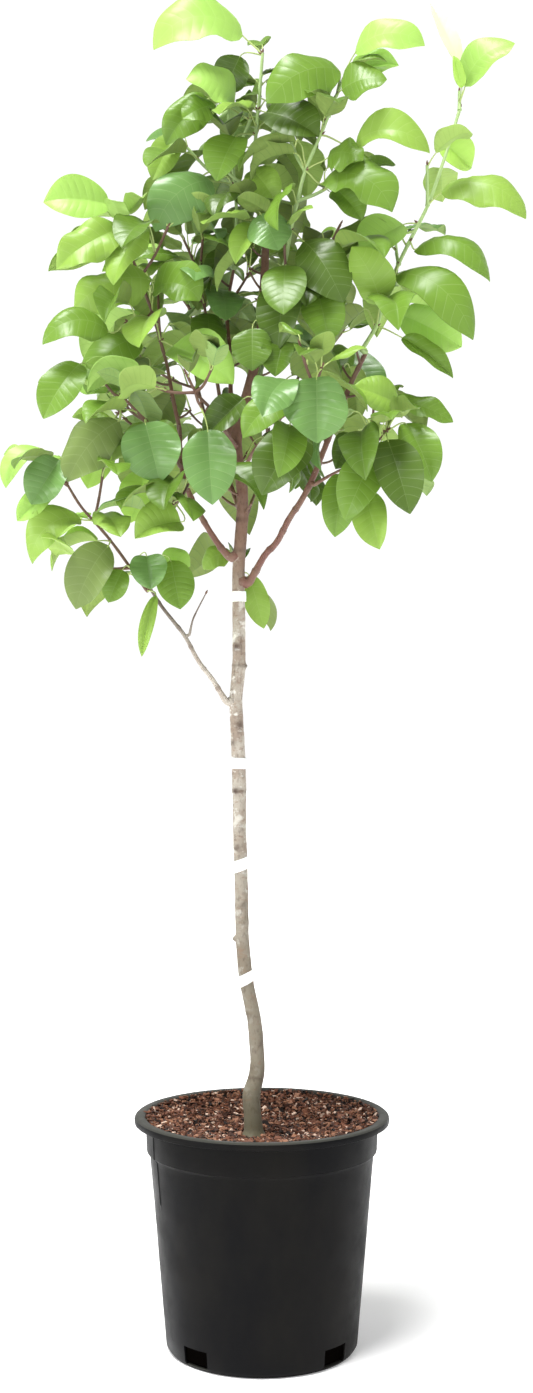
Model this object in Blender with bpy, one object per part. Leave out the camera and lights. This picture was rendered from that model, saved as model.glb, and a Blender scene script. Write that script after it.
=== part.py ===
"""A young pear tree in a black nursery pot, at its real size: metres, +Z up. The origin is the middle of the
pot's flat underside, -Y is the front, and the tree stands a little in front of the pot's middle. Sizes in the
tables are millimetres. Limbs are tapering tubes, and each mass of leaves grows by a rule from one stem."""

import math
import random

import bmesh
import bpy
from mathutils import Matrix, Quaternion, Vector
from mathutils.bvhtree import BVHTree
from mathutils.kdtree import KDTree

MM = 0.001
GAP = 0.3
UP = Vector((0, 0, 1))

# Pot: radii and heights of a 5-gallon nursery pot
POT_HEIGHT = 255
POT_WALL = 2
POT_FLOOR = 3
RIM_RADIUS = 140
RIM_FLAT_RADIUS = 138
RIM_DROP = 8
MOUTH_RADIUS = 128
COLLAR_RADIUS = 127.5
COLLAR_FOOT = 217
BODY_TOP_RADIUS = 123
BODY_FOOT_RADIUS = 105
BASE_RADIUS = 101
BASE_CORNER = 5
POT_SIDES = 32
DRAIN_ANGLES = (-42, 48, 138, 228)
DRAIN_WIDTH = 33
DRAIN_HEIGHT = 20

# Soil: a shallow dish with a level middle that carries the trunk's foot
SOIL_MIDDLE = 239
SOIL_EDGE = 250
SOIL_LEVEL_RADIUS = 58
SOIL_ROUGHNESS = 1.5

# Trunk: across, back, height, thickness, from the flat cut on the soil to the cut tip of the leader
TRUNK = (
    (-9, -37, SOIL_MIDDLE + GAP, 26),
    (-9, -37, 246, 20),
    (-10, -37, 262, 18),
    (-11, -36, 285, 18.5),
    (-5, -36, 308, 15),
    (-6, -35, 340, 14.6),
    (-9, -35, 368, 14.4),
    (-16, -34, 402, 14.4),
    (-21, -33, 449, 14),
    (-22, -33, 500, 13.8),
    (-24, -34, 570, 14.2),
    (-25, -36, 640, 14.4),
    (-28, -36, 712, 13.4),
    (-25, -36, 745, 13.4),
    (-25, -35, 805, 13.4),
    (-25, -34, 858, 12.8),
    (-21, -33, 912, 12.2),
    (-22, -32, 945, 12),
    (-28, -31, 991, 12),
    (-19, -29, 1032, 10.6),
    (-4, -24, 1092, 9.2),
    (2, -21, 1160, 8.4),
    (6, -18, 1258, 7),
)
TRUNK_SIDES = 10
TRUNK_STEP = 28

# Limbs: the limb that carries each one, its thickness at the foot and at the tip, and the way it takes
LIMBS = {
    "bough_low_left": ("trunk", 5.4, 3.4, ((-31, -36, 709), (-53, -45, 732), (-68, -50, 752),
                                           (-82, -55, 778), (-106, -62, 809), (-119, -65, 829))),
    "twig_bare": ("bough_low_left", 2.2, 1.3, ((-82, -55, 778), (-74, -60, 795), (-69, -62, 806),
                                               (-60, -66, 823))),
    "bough_left": ("trunk", 7.0, 3.6, ((-28, -34, 865), (-48, -38, 880), (-65, -42, 907), (-80, -45, 937),
                                       (-87, -46, 964), (-89, -42, 1003), (-95, -38, 1031),
                                       (-102, -34, 1069))),
    "bough_right": ("trunk", 7.4, 5.0, ((-23, -35, 838), (3, -42, 866), (16, -46, 880), (29, -52, 904),
                                        (43, -56, 925), (54, -60, 946), (71, -64, 989), (97, -64, 1052),
                                        (111, -62, 1081))),
    "bough_right_side": ("bough_right", 3.2, 2.6, ((54, -60, 942), (74, -78, 949), (96, -95, 958))),
    "bough_middle": ("trunk", 5.4, 3.2, ((-28, -31, 1003), (-34, -20, 1041), (-36, -5, 1103),
                                         (-39, 5, 1138), (-31, 10, 1188))),
    "bough_middle_left": ("trunk", 5.8, 3.4, ((-29, -31, 972), (-45, -5, 1035), (-50, 10, 1065),
                                              (-55, 20, 1102))),
    "bough_back_left": ("trunk", 5.6, 3.4, ((-22, -32, 921), (-44, 25, 974), (-63, 70, 1028))),
    "bough_back_right": ("trunk", 5.6, 3.4, ((-21, -32, 946), (7, 30, 1000), (32, 75, 1051))),
    "bough_front": ("trunk", 4.6, 3.2, ((-25, -31, 955), (-8, -75, 975), (17, -115, 995))),
    "bough_front_left": ("trunk", 4.6, 3.2, ((-27, -31, 986), (-42, -75, 1000), (-57, -100, 1013))),
}
LIMB_SIDES = 6
LIMB_STEP = 26
COLLAR_SWELL = 0.25
COLLAR_REACH = 12

# Ties: height of the middle on the trunk, height of the band, and its slant up to the right in degrees
TIES = {
    "tie_top": (822, 11, 0),
    "tie_upper": (642, 12, -4),
    "tie_middle": (532, 13, 18),
    "tie_low": (409, 12, 20),
}
TIE_THICKNESS = 0.8
TIE_SIDES = 12

# Masses: the limb that carries the stem, side twigs, their length, leaf spacing, seed, and the stem's way
MASSES = {
    "leaves_low_left": ("bough_low_left", 2, 55, 46, 11,
                        ((-119, -65, 829), (-160, -80, 879), (-191, -90, 915), (-205, -95, 938))),
    "leaves_left_spur": ("bough_left", 1, 45, 24, 12, ((-80, -45, 937), (-92, -80, 919), (-108, -110, 905))),
    "leaves_left_far": ("bough_left", 2, 50, 30, 13,
                        ((-87, -46, 962), (-99, -70, 982), (-121, -92, 1003), (-146, -100, 1028))),
    "leaves_left_top": ("bough_left", 3, 60, 40, 14,
                        ((-102, -34, 1069), (-118, -45, 1127), (-131, -52, 1163), (-149, -58, 1212))),
    "leaves_top_left": ("bough_middle", 3, 65, 30, 15,
                        ((-31, 10, 1188), (-28, 2, 1243), (-33, -10, 1305), (-37, -18, 1355))),
    "leaves_top": ("trunk", 3, 60, 30, 16,
                   ((4, -22, 1210), (-6, -34, 1261), (-8, -42, 1296), (-4, -46, 1344), (1, -50, 1405))),
    "leaves_top_right": ("trunk", 3, 55, 38, 17,
                         ((4, -22, 1156), (23, -50, 1175), (31, -62, 1211), (46, -76, 1271),
                          (62, -82, 1307), (71, -86, 1328))),
    "leaves_right_top": ("bough_right", 2, 50, 46, 18,
                         ((111, -62, 1081), (122, -62, 1109), (135, -62, 1151), (158, -56, 1201),
                          (178, -50, 1241), (198, -40, 1298), (215, -30, 1352))),
    "leaves_right_low": ("bough_right_side", 2, 50, 26, 19,
                         ((96, -95, 958), (113, -106, 973), (131, -115, 990))),
    "leaves_middle_left": ("bough_middle_left", 3, 65, 26, 20,
                           ((-55, 20, 1102), (-65, 12, 1152), (-75, 2, 1192), (-86, -6, 1216))),
    "leaves_middle_right": ("trunk", 3, 60, 26, 21,
                            ((-2, -24, 1123), (28, -52, 1135), (56, -66, 1165), (84, -62, 1218))),
    "leaves_front": ("bough_front", 2, 55, 26, 22,
                     ((17, -115, 995), (35, -145, 1011), (53, -165, 1028), (61, -175, 1046))),
    "leaves_front_left": ("bough_front_left", 2, 50, 26, 23,
                          ((-57, -100, 1013), (-68, -120, 1029), (-78, -135, 1047))),
    "leaves_low": ("trunk", 0, 0, 500, 24, ((-25, -35, 838), (-24, 0, 850), (-21, 20, 865))),
    "leaves_back_left": ("bough_back_left", 4, 70, 48, 25,
                         ((-63, 70, 1028), (-78, 110, 1092), (-84, 130, 1167), (-86, 140, 1239))),
    "leaves_back_right": ("bough_back_right", 4, 65, 42, 26,
                          ((32, 75, 1051), (52, 115, 1110), (58, 140, 1180), (54, 150, 1250))),
    "leaves_back": ("trunk", 3, 60, 40, 27,
                    ((-20, -33, 897), (-11, 40, 934), (1, 95, 974), (8, 140, 1027))),
}
STEM_TIP = 2.6
STEM_SIDES = 5
STEM_STEP = 28
TWIG_FOOT = 3
TWIG_TIP = 2.6
TWIG_SIDES = 3
TWIG_STEP = 40
TIP_DEPTH = 2.5
SPIRAL = math.radians(137.5)

# Leaves that draw the crown's outline: foot and tip of the blade, its width, and arch and facing in degrees,
# where facing turns the upper side from the sky, 0, to the front, 90
OUTLINE_LEAVES = {
    "leaves_top": (
        ((-22, -50, 1425), (-115, -75, 1408), 58, 100, 38),
        ((-24, -45, 1402), (-41, -35, 1366), 38, 30, 80),
        ((-30, -60, 1350), (-80, -85, 1365), 52, 90, 48),
        ((5, -70, 1335), (60, -100, 1300), 50, 40, 65),
        ((0, -90, 1220), (18, -105, 1180), 44, 30, 75),
    ),
    "leaves_top_left": (
        ((-60, -20, 1365), (-105, -30, 1315), 42, 40, 60),
        ((-95, -5, 1330), (-120, -10, 1280), 32, 30, 80),
        ((-55, -40, 1270), (-115, -60, 1215), 54, 90, 48),
    ),
    "leaves_top_right": (
        ((80, -85, 1375), (5, -110, 1335), 52, 80, 54),
        ((85, -100, 1350), (130, -115, 1355), 44, 60, 55),
        ((100, -85, 1395), (170, -105, 1395), 36, 95, 46),
        ((97, -70, 1378), (145, -75, 1385), 34, 30, 70),
        ((100, -95, 1295), (175, -110, 1280), 38, 110, 46),
        ((70, -95, 1280), (105, -120, 1270), 38, 75, 55),
        ((65, -90, 1255), (135, -120, 1215), 48, 115, 33),
        ((45, -80, 1195), (85, -105, 1125), 50, 60, 60),
    ),
    "leaves_right_top": (
        ((220, -35, 1375), (272, -50, 1415), 40, 90, 40),
        ((215, -45, 1370), (205, -55, 1400), 14, 20, 60),
        ((215, -20, 1405), (185, -5, 1475), 20, 20, 70),
        ((195, -20, 1320), (230, 0, 1295), 40, 20, 80),
        ((192, -60, 1252), (280, -80, 1222), 46, 100, 32),
        ((165, -70, 1190), (240, -90, 1150), 40, 125, 33),
        ((150, -50, 1220), (105, -60, 1190), 52, 20, 50),
        ((125, -80, 1130), (95, -100, 1185), 40, 60, 60),
        ((145, -80, 1160), (220, -100, 1085), 44, 105, 43),
        ((150, -45, 1125), (215, -45, 1090), 46, 40, 80),
        ((150, -70, 1095), (202, -80, 1050), 26, 45, 65),
    ),
    "leaves_right_low": (
        ((140, -110, 1020), (95, -120, 1035), 42, 20, 75),
        ((140, -95, 1025), (200, -100, 1000), 28, 40, 40),
        ((150, -125, 995), (175, -140, 935), 40, 50, 65),
        ((130, -140, 975), (150, -170, 900), 46, 25, 80),
        ((115, -135, 960), (85, -150, 895), 42, 40, 70),
        ((107, -112, 925), (122, -125, 867), 38, 25, 80),
        ((84, -112, 945), (76, -118, 880), 36, 25, 80),
    ),
    "leaves_front": (
        ((55, -190, 1030), (55, -200, 965), 62, 30, 85),
        ((40, -150, 985), (0, -165, 920), 54, 30, 75),
        ((25, -140, 1025), (-20, -150, 980), 36, 40, 55),
        ((-20, -100, 1025), (-60, -100, 985), 36, 20, 75),
    ),
    "leaves_middle_right": (
        ((-10, -95, 1100), (-10, -105, 1055), 40, 20, 80),
        ((60, -85, 1136), (70, -98, 1086), 44, 40, 65),
    ),
    "leaves_front_left": (((-55, -140, 985), (-50, -160, 910), 52, 30, 80),),
    "leaves_left_top": (
        ((-165, -60, 1240), (-230, -80, 1240), 50, 30, 70),
        ((-150, -75, 1210), (-215, -100, 1165), 45, 40, 72),
        ((-135, -35, 1178), (-172, -45, 1172), 32, 40, 65),
        ((-122, -60, 1160), (-200, -75, 1122), 54, 80, 45),
        ((-115, -70, 1145), (-65, -90, 1130), 46, 105, 33),
        ((-161, -105, 1096), (-226, -130, 1081), 38, 100, 34),
        ((-95, -50, 1090), (-30, -80, 1045), 54, 45, 65),
        ((-130, -65, 1095), (-185, -80, 1035), 46, 100, 42),
    ),
    "leaves_left_far": (
        ((-190, -110, 1060), (-225, -130, 1000), 40, 50, 60),
        ((-150, -110, 1000), (-200, -130, 935), 44, 60, 40),
        ((-120, -120, 995), (-105, -130, 935), 58, 30, 75),
        ((-165, -70, 985), (-185, -75, 935), 36, 20, 80),
        ((-125, -55, 955), (-140, -60, 900), 40, 20, 80),
    ),
    "leaves_left_spur": (((-85, -115, 895), (-130, -135, 880), 48, 40, 50),),
    "leaves_low_left": (
        ((-190, -95, 900), (-240, -115, 855), 36, 120, 31),
        ((-162, -100, 870), (-194, -115, 806), 41, 65, 58),
        ((-120, -105, 860), (-115, -115, 825), 40, 20, 80),
        ((-95, -95, 855), (-85, -105, 805), 38, 20, 80),
        ((-112, -90, 818), (-126, -100, 756), 17, 40, 45),
        ((-235, -95, 975), (-270, -105, 935), 23, 100, 31),
        ((-210, -115, 960), (-238, -125, 912), 42, 20, 75),
        ((-222, -100, 925), (-255, -110, 898), 28, 30, 70),
        ((-106, -70, 862), (-76, -72, 853), 23, 80, 38),
    ),
    "leaves_low": (
        ((-14, -10, 846), (2, -14, 788), 26, 30, 70),
        ((-35, 0, 870), (-65, 0, 855), 26, 95, 36),
    ),
}

# Gaps of the crown as seen from the front: across and height of each one's middle, and its half sizes, at the
# depth of the pot's middle. The eye is the place from which they are seen.
OPEN_SPACES = (
    (190, 1405, 22, 16),
    (165, 1370, 38, 22),
    (108, 1352, 14, 18),
    (160, 1282, 20, 36),
    (-135, 1360, 26, 34),
    (-150, 1300, 26, 38),
    (-82, 1318, 12, 9),
    (78, 1250, 18, 18),
    (192, 1246, 22, 12),
    (262, 1340, 36, 38),
    (190, 1340, 10, 34),
    (108, 1165, 8, 18),
    (35, 1190, 8, 12),
    (-25, 1172, 12, 8),
    (-165, 1130, 14, 10),
    (-115, 1120, 9, 14),
    (-232, 1165, 18, 24),
    (145, 1080, 22, 22),
    (188, 1062, 22, 16),
    (-190, 1040, 14, 14),
    (215, 970, 16, 26),
    (-48, 905, 13, 22),
    (-80, 890, 12, 14),
    (12, 902, 18, 34),
    (58, 878, 32, 36),
    (20, 855, 18, 22),
    (-195, 898, 20, 8),
    (-238, 845, 26, 22),
    (-180, 800, 32, 14),
    (-140, 810, 12, 12),
    (-58, 820, 26, 40),
    (-12, 792, 16, 34),
)
EYE = (5, -2040, 714)

# Leaves: the length, slimness and stalk of a full-grown one, and what bends it
LEAF_LENGTH = 84
LEAF_SLIMNESS = 0.56
YOUNG_SHARE = 0.55
PETIOLE_LENGTH = 34
PETIOLE_THICKNESS = 1.7
PETIOLE_ANGLE = math.radians(55)
SHORT_STALK = 14
LONG_STALK = 50
LONGEST_STALK = 75
STRAIGHT_ENOUGH = 0.4
SHARPEST_BEND = -0.75
SIDE_CARE = 0.5
BEND_DEPTH = 7
BACKING = 22
FOLD = math.radians(22)
BLADE_THICKNESS = 0.02
BLADE_ROUND = 0.5
BLADE_TAPER = 0.8
RULE_STATIONS = (0.18, 0.57)
OUTLINE_STATIONS = (0.12, 0.44, 0.77)

# Looks: colour and roughness
BLACK_PLASTIC = (0.012, 0.012, 0.011), 0.42
POTTING_MIX = (0.12, 0.05, 0.03), 0.9
GREY_BARK = (0.36, 0.27, 0.2), 0.75
RED_BARK = (0.16, 0.07, 0.05), 0.6
WHITE_BAND = (0.85, 0.85, 0.83), 0.5
GREENS = (((0.2, 0.42, 0.05), 0.45), ((0.11, 0.27, 0.05), 0.5), ((0.08, 0.2, 0.04), 0.5))

# Room that each leaf keeps: to its own mass's space, and to everything near it
SPACE_REACH = 165
SPACE_SHARE = 25
LEAF_ROOM = 1.5
ROOT_SHARE = 0.5
TRIES = 14


def metres(point):
    return Vector(point) * MM


def smooth_line(points, step):
    """Points about a step apart on the smooth curve through the given ones."""
    ends = [2 * points[0] - points[1], *points, 2 * points[-1] - points[-2]]
    line = [points[0].copy()]
    for before, start, end, after in zip(ends, ends[1:], ends[2:], ends[3:]):
        count = max(1, round((end - start).length / (step * MM)))
        for k in range(1, count + 1):
            t = k / count
            line.append(
                (2 * start + (end - before) * t
                 + (2 * before - 5 * start + 4 * end - after) * t**2
                 + (3 * start - before - 3 * end + after) * t**3) / 2
            )
    return line


def distances(line):
    """How far along the line each of its points is."""
    travelled = [0.0]
    for start, end in zip(line, line[1:]):
        travelled.append(travelled[-1] + (end - start).length)
    return travelled


def tangent(line, k):
    return (line[min(k + 1, len(line) - 1)] - line[max(k - 1, 0)]).normalized()


def tapering(line, foot, tip, swell):
    """Radii along a limb from its foot's to its tip's thickness, with a swollen collar at the foot."""
    travelled = distances(line)
    radii = []
    for distance in travelled:
        share = distance / travelled[-1]
        collar = swell * max(0, 1 - distance / (COLLAR_REACH * MM))
        radii.append((foot + (tip - foot) * share + foot * collar) * MM / 2)
    return radii


def nearest_place(line, point):
    """The segment of the line nearest the point, and the share of that segment where it is nearest."""
    places = []
    for k, (start, end) in enumerate(zip(line, line[1:])):
        run = end - start
        share = min(1, max(0, (point - start).dot(run) / run.length_squared))
        places.append(((start + run * share - point).length, k, share))
    return min(places)[1:]


def carried_line(points, carrier, foot, step):
    """The smooth line through the points, begun a gap clear of its carrier's side or of its cut tip."""
    line, radii = carrier
    points = [metres(point) for point in points]
    k, share = nearest_place(line, points[0])
    along = (line[k + 1] - line[k]).normalized()
    if k == len(line) - 2 and share == 1:
        out = tangent(line, k + 1)
        start = line[k + 1] + out * GAP * MM
    else:
        place = line[k].lerp(line[k + 1], share)
        out = points[1] - place
        out = (out - along * out.dot(along)).normalized()
        start = place + out * (radii[k] + (radii[k + 1] - radii[k]) * share + GAP * MM)
    return smooth_line([start, start + out * (foot / 2 + 1.5) * MM, *points[1:]], step)


def tube(line, radii, sides, level_foot=False):
    """Vertices and faces of a closed tube along the line, with flat ends."""
    vertices = []
    heading = UP if level_foot else tangent(line, 0)
    across = heading.orthogonal().normalized()
    for k, (middle, radius) in enumerate(zip(line, radii)):
        if k:
            turned = tangent(line, k)
            across = heading.rotation_difference(turned) @ across
            heading = turned
        for side in range(sides):
            spoke = Quaternion(heading, math.tau * side / sides) @ across
            vertices.append(middle + spoke * radius)
    faces = [tuple(reversed(range(sides))), tuple(range(len(vertices) - sides, len(vertices)))]
    for k in range(len(line) - 1):
        for side in range(sides):
            a = k * sides + side
            b = k * sides + (side + 1) % sides
            faces.append((a, b, b + sides, a + sides))
    return vertices, faces


def turned_solid(profile, sides):
    """Vertices and faces of the profile, (radius, height) in millimetres, turned round the upright axis."""
    vertices = []
    rings = []
    for radius, height in profile:
        first = len(vertices)
        count = sides if radius else 1
        for side in range(count):
            angle = math.tau * side / sides
            vertices.append(metres((radius * math.cos(angle), radius * math.sin(angle), height)))
        rings.append([first + side % count for side in range(sides)])
    faces = []
    for low, high in zip(rings, rings[1:]):
        for side in range(sides):
            after = (side + 1) % sides
            corners = (low[side], low[after], high[after], high[side])
            faces.append(tuple(dict.fromkeys(corners)))
    return vertices, faces


class Leaf:
    """One leaf: a stalk from its root to the blade's foot, bent there where need be, and an arched blade."""

    def __init__(self, root, foot, tip, width, arch, sky, stations):
        chord = tip - foot
        self.stations = stations
        self.root = root
        self.foot = foot
        self.along = chord.normalized()
        self.up = (sky - self.along * sky.dot(self.along)).normalized()
        self.side = self.up.cross(self.along)
        self.arch = arch
        self.length = chord.length * arch / (2 * math.sin(arch / 2))
        self.width = width
        self.start = self.along * math.cos(arch / 2) + self.up * math.sin(arch / 2)
        stalk = (foot - root).normalized()
        self.bend = []
        if stalk.dot(self.start) < STRAIGHT_ENOUGH or abs(stalk.dot(self.side)) > 1 - STRAIGHT_ENOUGH:
            self.bend = [foot - self.start * BEND_DEPTH * MM]

    def is_sound(self):
        """Whether the stalk comes from behind the blade and not through it."""
        stalk = ((self.bend or [self.foot])[0] - self.root).normalized()
        return stalk.dot(self.start) > SHARPEST_BEND + SIDE_CARE * abs(stalk.dot(self.side))

    def section(self, share):
        """The midrib's place, the upward direction and the half width at a share of the blade's length."""
        turn = self.arch * (0.5 - share)
        bend = self.length / self.arch
        forward = bend * (math.sin(self.arch / 2) - math.sin(turn))
        rise = bend * (math.cos(turn) - math.cos(self.arch / 2))
        middle = self.foot + self.along * forward + self.up * rise
        up = self.up * math.cos(turn) - self.along * math.sin(turn)
        peak = BLADE_ROUND / (BLADE_ROUND + BLADE_TAPER)
        widest = peak**BLADE_ROUND * (1 - peak) ** BLADE_TAPER
        outline = share**BLADE_ROUND * (1 - share) ** BLADE_TAPER / widest
        return middle, up, self.width / 2 * outline

    def shape(self, room=0.0, root_share=0.0):
        """Vertices and faces of the closed leaf, grown by some room and begun partly up the stalk."""
        thick = PETIOLE_THICKNESS / 2 * MM + room
        way = [self.root, *self.bend, self.foot]
        way[0] = way[0].lerp(way[1], root_share)
        headings = [(end - start).normalized() for start, end in zip(way, way[1:])] + [self.start]
        vertices = []
        side = self.side
        ahead = self.start
        for k in reversed(range(len(way))):
            heading = (headings[max(k - 1, 0)] + headings[k]).normalized()
            side = ahead.rotation_difference(heading) @ side
            ahead = heading
            spokes = (side, heading.cross(side), -side, -heading.cross(side))
            vertices = [way[k] + spoke * thick for spoke in spokes] + vertices
        keel = self.length * BLADE_THICKNESS + 2 * room
        for share in self.stations:
            middle, up, half = self.section(share)
            wing = up * math.sin(FOLD) * (half + room)
            spread = self.side * math.cos(FOLD) * (half + room)
            vertices += [middle + wing + spread, middle + up * 0.3 * keel]
            vertices += [middle + wing - spread, middle - up * 0.7 * keel]
        vertices.append(self.section(1)[0] + self.along * room)
        rings = len(way) + len(self.stations)
        faces = [(3, 2, 1, 0)]
        for ring in range(rings - 1):
            for edge, ridge in ((0, 1), (2, 1), (2, 3), (0, 3)):
                edge_here = ring * 4 + edge
                ridge_here = ring * 4 + ridge
                faces.append((edge_here, ridge_here, ridge_here + 4))
                faces.append((edge_here, ridge_here + 4, edge_here + 4))
        last = (rings - 1) * 4
        for corner in range(4):
            faces.append((last + corner, last + (corner + 1) % 4, last + 4))
        return vertices, faces


def grow_limbs():
    """The line and radii of the trunk and of every limb, by name."""
    points = [metres(row[:3]) for row in TRUNK]
    line = smooth_line(points, TRUNK_STEP)
    heights = [row[2] * MM for row in TRUNK]
    radii = []
    for point in line:
        k = max(i for i in range(len(TRUNK) - 1) if i == 0 or heights[i] <= point.z + 1e-9)
        share = (point.z - heights[k]) / (heights[k + 1] - heights[k])
        radii.append((TRUNK[k][3] + (TRUNK[k + 1][3] - TRUNK[k][3]) * share) * MM / 2)
    limbs = {"trunk": (line, radii)}
    for name, (carrier, foot, tip, way) in LIMBS.items():
        line = carried_line(way, limbs[carrier], foot, LIMB_STEP)
        limbs[name] = (line, tapering(line, foot, tip, COLLAR_SWELL))
    return limbs


def grow_stem(limbs, carrier, way):
    """A mass's stem, as thick at its foot as the tip that carries it, or a little more than a twig."""
    foot = min(2 * limbs[carrier][1][-1] / MM, TWIG_FOOT + 0.6)
    line = carried_line(way, limbs[carrier], foot, STEM_STEP)
    return line, tapering(line, foot, STEM_TIP, 0)


def grow_twigs(stem, count, length, rng):
    """Side twigs that leave the stem in a spiral, shorter towards its tip and lifting at their ends."""
    line = stem[0]
    travelled = distances(line)
    turn = rng.uniform(0, math.tau)
    twigs = []
    for k in range(count):
        share = 0.15 + 0.65 * (k + 0.5) / count
        i = min(range(len(line)), key=lambda j: abs(travelled[j] - share * travelled[-1]))
        heading = tangent(line, i)
        out = Quaternion(heading, turn + k * SPIRAL) @ heading.orthogonal().normalized()
        reach = length * MM * (1.1 - 0.45 * share) * rng.uniform(0.85, 1.15)
        way = out * math.sin(PETIOLE_ANGLE) + heading * math.cos(PETIOLE_ANGLE)
        bend = line[i] + way * reach * 0.5
        end = line[i] + way * reach + UP * reach * 0.18
        twig = smooth_line([line[i], bend, end], TWIG_STEP)
        twigs.append((twig, tapering(twig, TWIG_FOOT, TWIG_TIP, 0)))
    return twigs


def sunk_tip(line):
    """A place a little inside the twig's tip, for the roots of its last leaves."""
    return line[-1] - tangent(line, len(line) - 1) * TIP_DEPTH * MM


def find_roots(wood, foot, tip):
    """Places on the wood that a leaf could grow from, best first: near, behind the leaf, a stalk away."""
    along = (tip - foot).normalized()

    def strain(spot):
        stalk = foot - spot
        return stalk.length - stalk.normalized().dot(along) * BACKING * MM

    spots = [point for line, _ in wood for point in (*line[1:-1], sunk_tip(line))]
    spots = [spot for spot in spots if (foot - spot).length > SHORT_STALK * MM]
    return sorted(spots, key=strain)


def reaching_twigs(stem, rows):
    """A side twig towards each leaf of the outline that stands too far out for a stalk."""
    wood = [stem]
    for foot, tip, _, _, _ in rows:
        foot = metres(foot)
        root = find_roots(wood, foot, metres(tip))[0]
        reach = foot - root
        if reach.length > LONG_STALK * MM:
            end = root + reach * (1 - PETIOLE_LENGTH * MM / reach.length)
            twig = smooth_line([root, root.lerp(end, 0.5) - UP * reach.length * 0.06, end], TWIG_STEP)
            wood.append((twig, tapering(twig, TWIG_FOOT, TWIG_TIP, 0)))
    return wood[1:]


def placed_leaves(wood, foot, tip, width, arch, facing):
    """A leaf of the outline, as it would be from each of its best roots."""
    foot = metres(foot)
    tip = metres(tip)
    turn = math.radians(facing)
    sky = Vector((0, -math.sin(turn), math.cos(turn)))
    roots = [root for root in find_roots(wood, foot, tip) if (foot - root).length < LONGEST_STALK * MM]
    return [Leaf(root, foot, tip, width * MM, math.radians(arch), sky, OUTLINE_STATIONS) for root in roots]


def leaf_places(wood, spacing):
    """Where the leaves of a mass leave its wood: the place, the heading there, and how young the leaf is."""
    places = []
    for line, _ in wood:
        travelled = distances(line)
        place = 0.75 * spacing * MM
        while place < travelled[-1]:
            i = max(j for j in range(len(line) - 1) if travelled[j] <= place)
            share = (place - travelled[i]) / (travelled[i + 1] - travelled[i])
            places.append((line[i].lerp(line[i + 1], share), tangent(line, i), place / travelled[-1]))
            place += spacing * MM
        places.append((sunk_tip(line), tangent(line, len(line) - 1), 1.0))
    return places


def rule_leaf(place, heading, youth, azimuth, rng):
    """A leaf that leaves the twig at an angle, holds its stalk out and lets its blade arch over."""
    out = Quaternion(heading, azimuth + rng.uniform(-0.5, 0.5)) @ heading.orthogonal().normalized()
    lean = PETIOLE_ANGLE * rng.uniform(0.8, 1.2) * (1 - 0.45 * youth**4)
    way = out * math.sin(lean) + heading * math.cos(lean)
    size = (1 - (1 - YOUNG_SHARE) * youth**3) * rng.uniform(0.86, 1.1)
    foot = place + way * PETIOLE_LENGTH * size * rng.uniform(0.75, 1.15) * MM
    level = Vector((way.x, way.y, 0))
    level = level.normalized() if level.length > 0.05 else Vector((out.x, out.y, 0.01)).normalized()
    drop = math.radians(rng.uniform(20, 66) * (1 - youth**3) - 18 * youth**3)
    arch = math.radians(rng.uniform(34, 76) * (1 - 0.4 * youth**3))
    length = LEAF_LENGTH * size * MM
    chord = length * 2 * math.sin(arch / 2) / arch
    tip = foot + (level * math.cos(drop) - UP * math.sin(drop)) * chord
    sky = UP * 0.8 + level * 0.6 + Vector([rng.uniform(-0.35, 0.35) for _ in range(3)])
    width = length * LEAF_SLIMNESS * rng.uniform(0.9, 1.12)
    return Leaf(place, foot, tip, width, arch, sky, RULE_STATIONS)


def tie_shape(name, trunk):
    """Vertices and faces of a flat band wound snugly round the trunk, at its slant, and its middle."""
    height, band, slant = TIES[name]
    line, radii = trunk
    k = max(i for i in range(len(line) - 1) if line[i].z <= height * MM)
    share = (height * MM - line[k].z) / (line[k + 1].z - line[k].z)
    middle = line[k].lerp(line[k + 1], share)
    inner = (max(radii[k - 1 : k + 3]) / MM + 2 * GAP) / math.cos(math.pi / TIE_SIDES)
    outer = inner + TIE_THICKNESS
    low = -band / 2
    profile = ((inner, low), (outer, low), (outer, low + band), (inner, low + band), (inner, low))
    vertices, faces = turned_solid(profile, TIE_SIDES)
    used = len(vertices) - TIE_SIDES
    faces = [tuple(corner % used for corner in face) for face in faces]
    lean = UP.rotation_difference((line[k + 1] - line[k]).normalized())
    rise = math.tan(math.radians(slant))
    return [middle + lean @ (vertex + UP * vertex.x * rise) for vertex in vertices[:used]], faces, middle


def shows_sky(point):
    """Whether the place stands, seen from the front, in one of the crown's gaps."""
    share = -EYE[1] / (point.y / MM - EYE[1])
    across = EYE[0] + (point.x / MM - EYE[0]) * share
    height = EYE[2] + (point.z / MM - EYE[2]) * share
    return any(((across - x) / wide) ** 2 + ((height - z) / high) ** 2 < 1 for x, z, wide, high in OPEN_SPACES)


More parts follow.
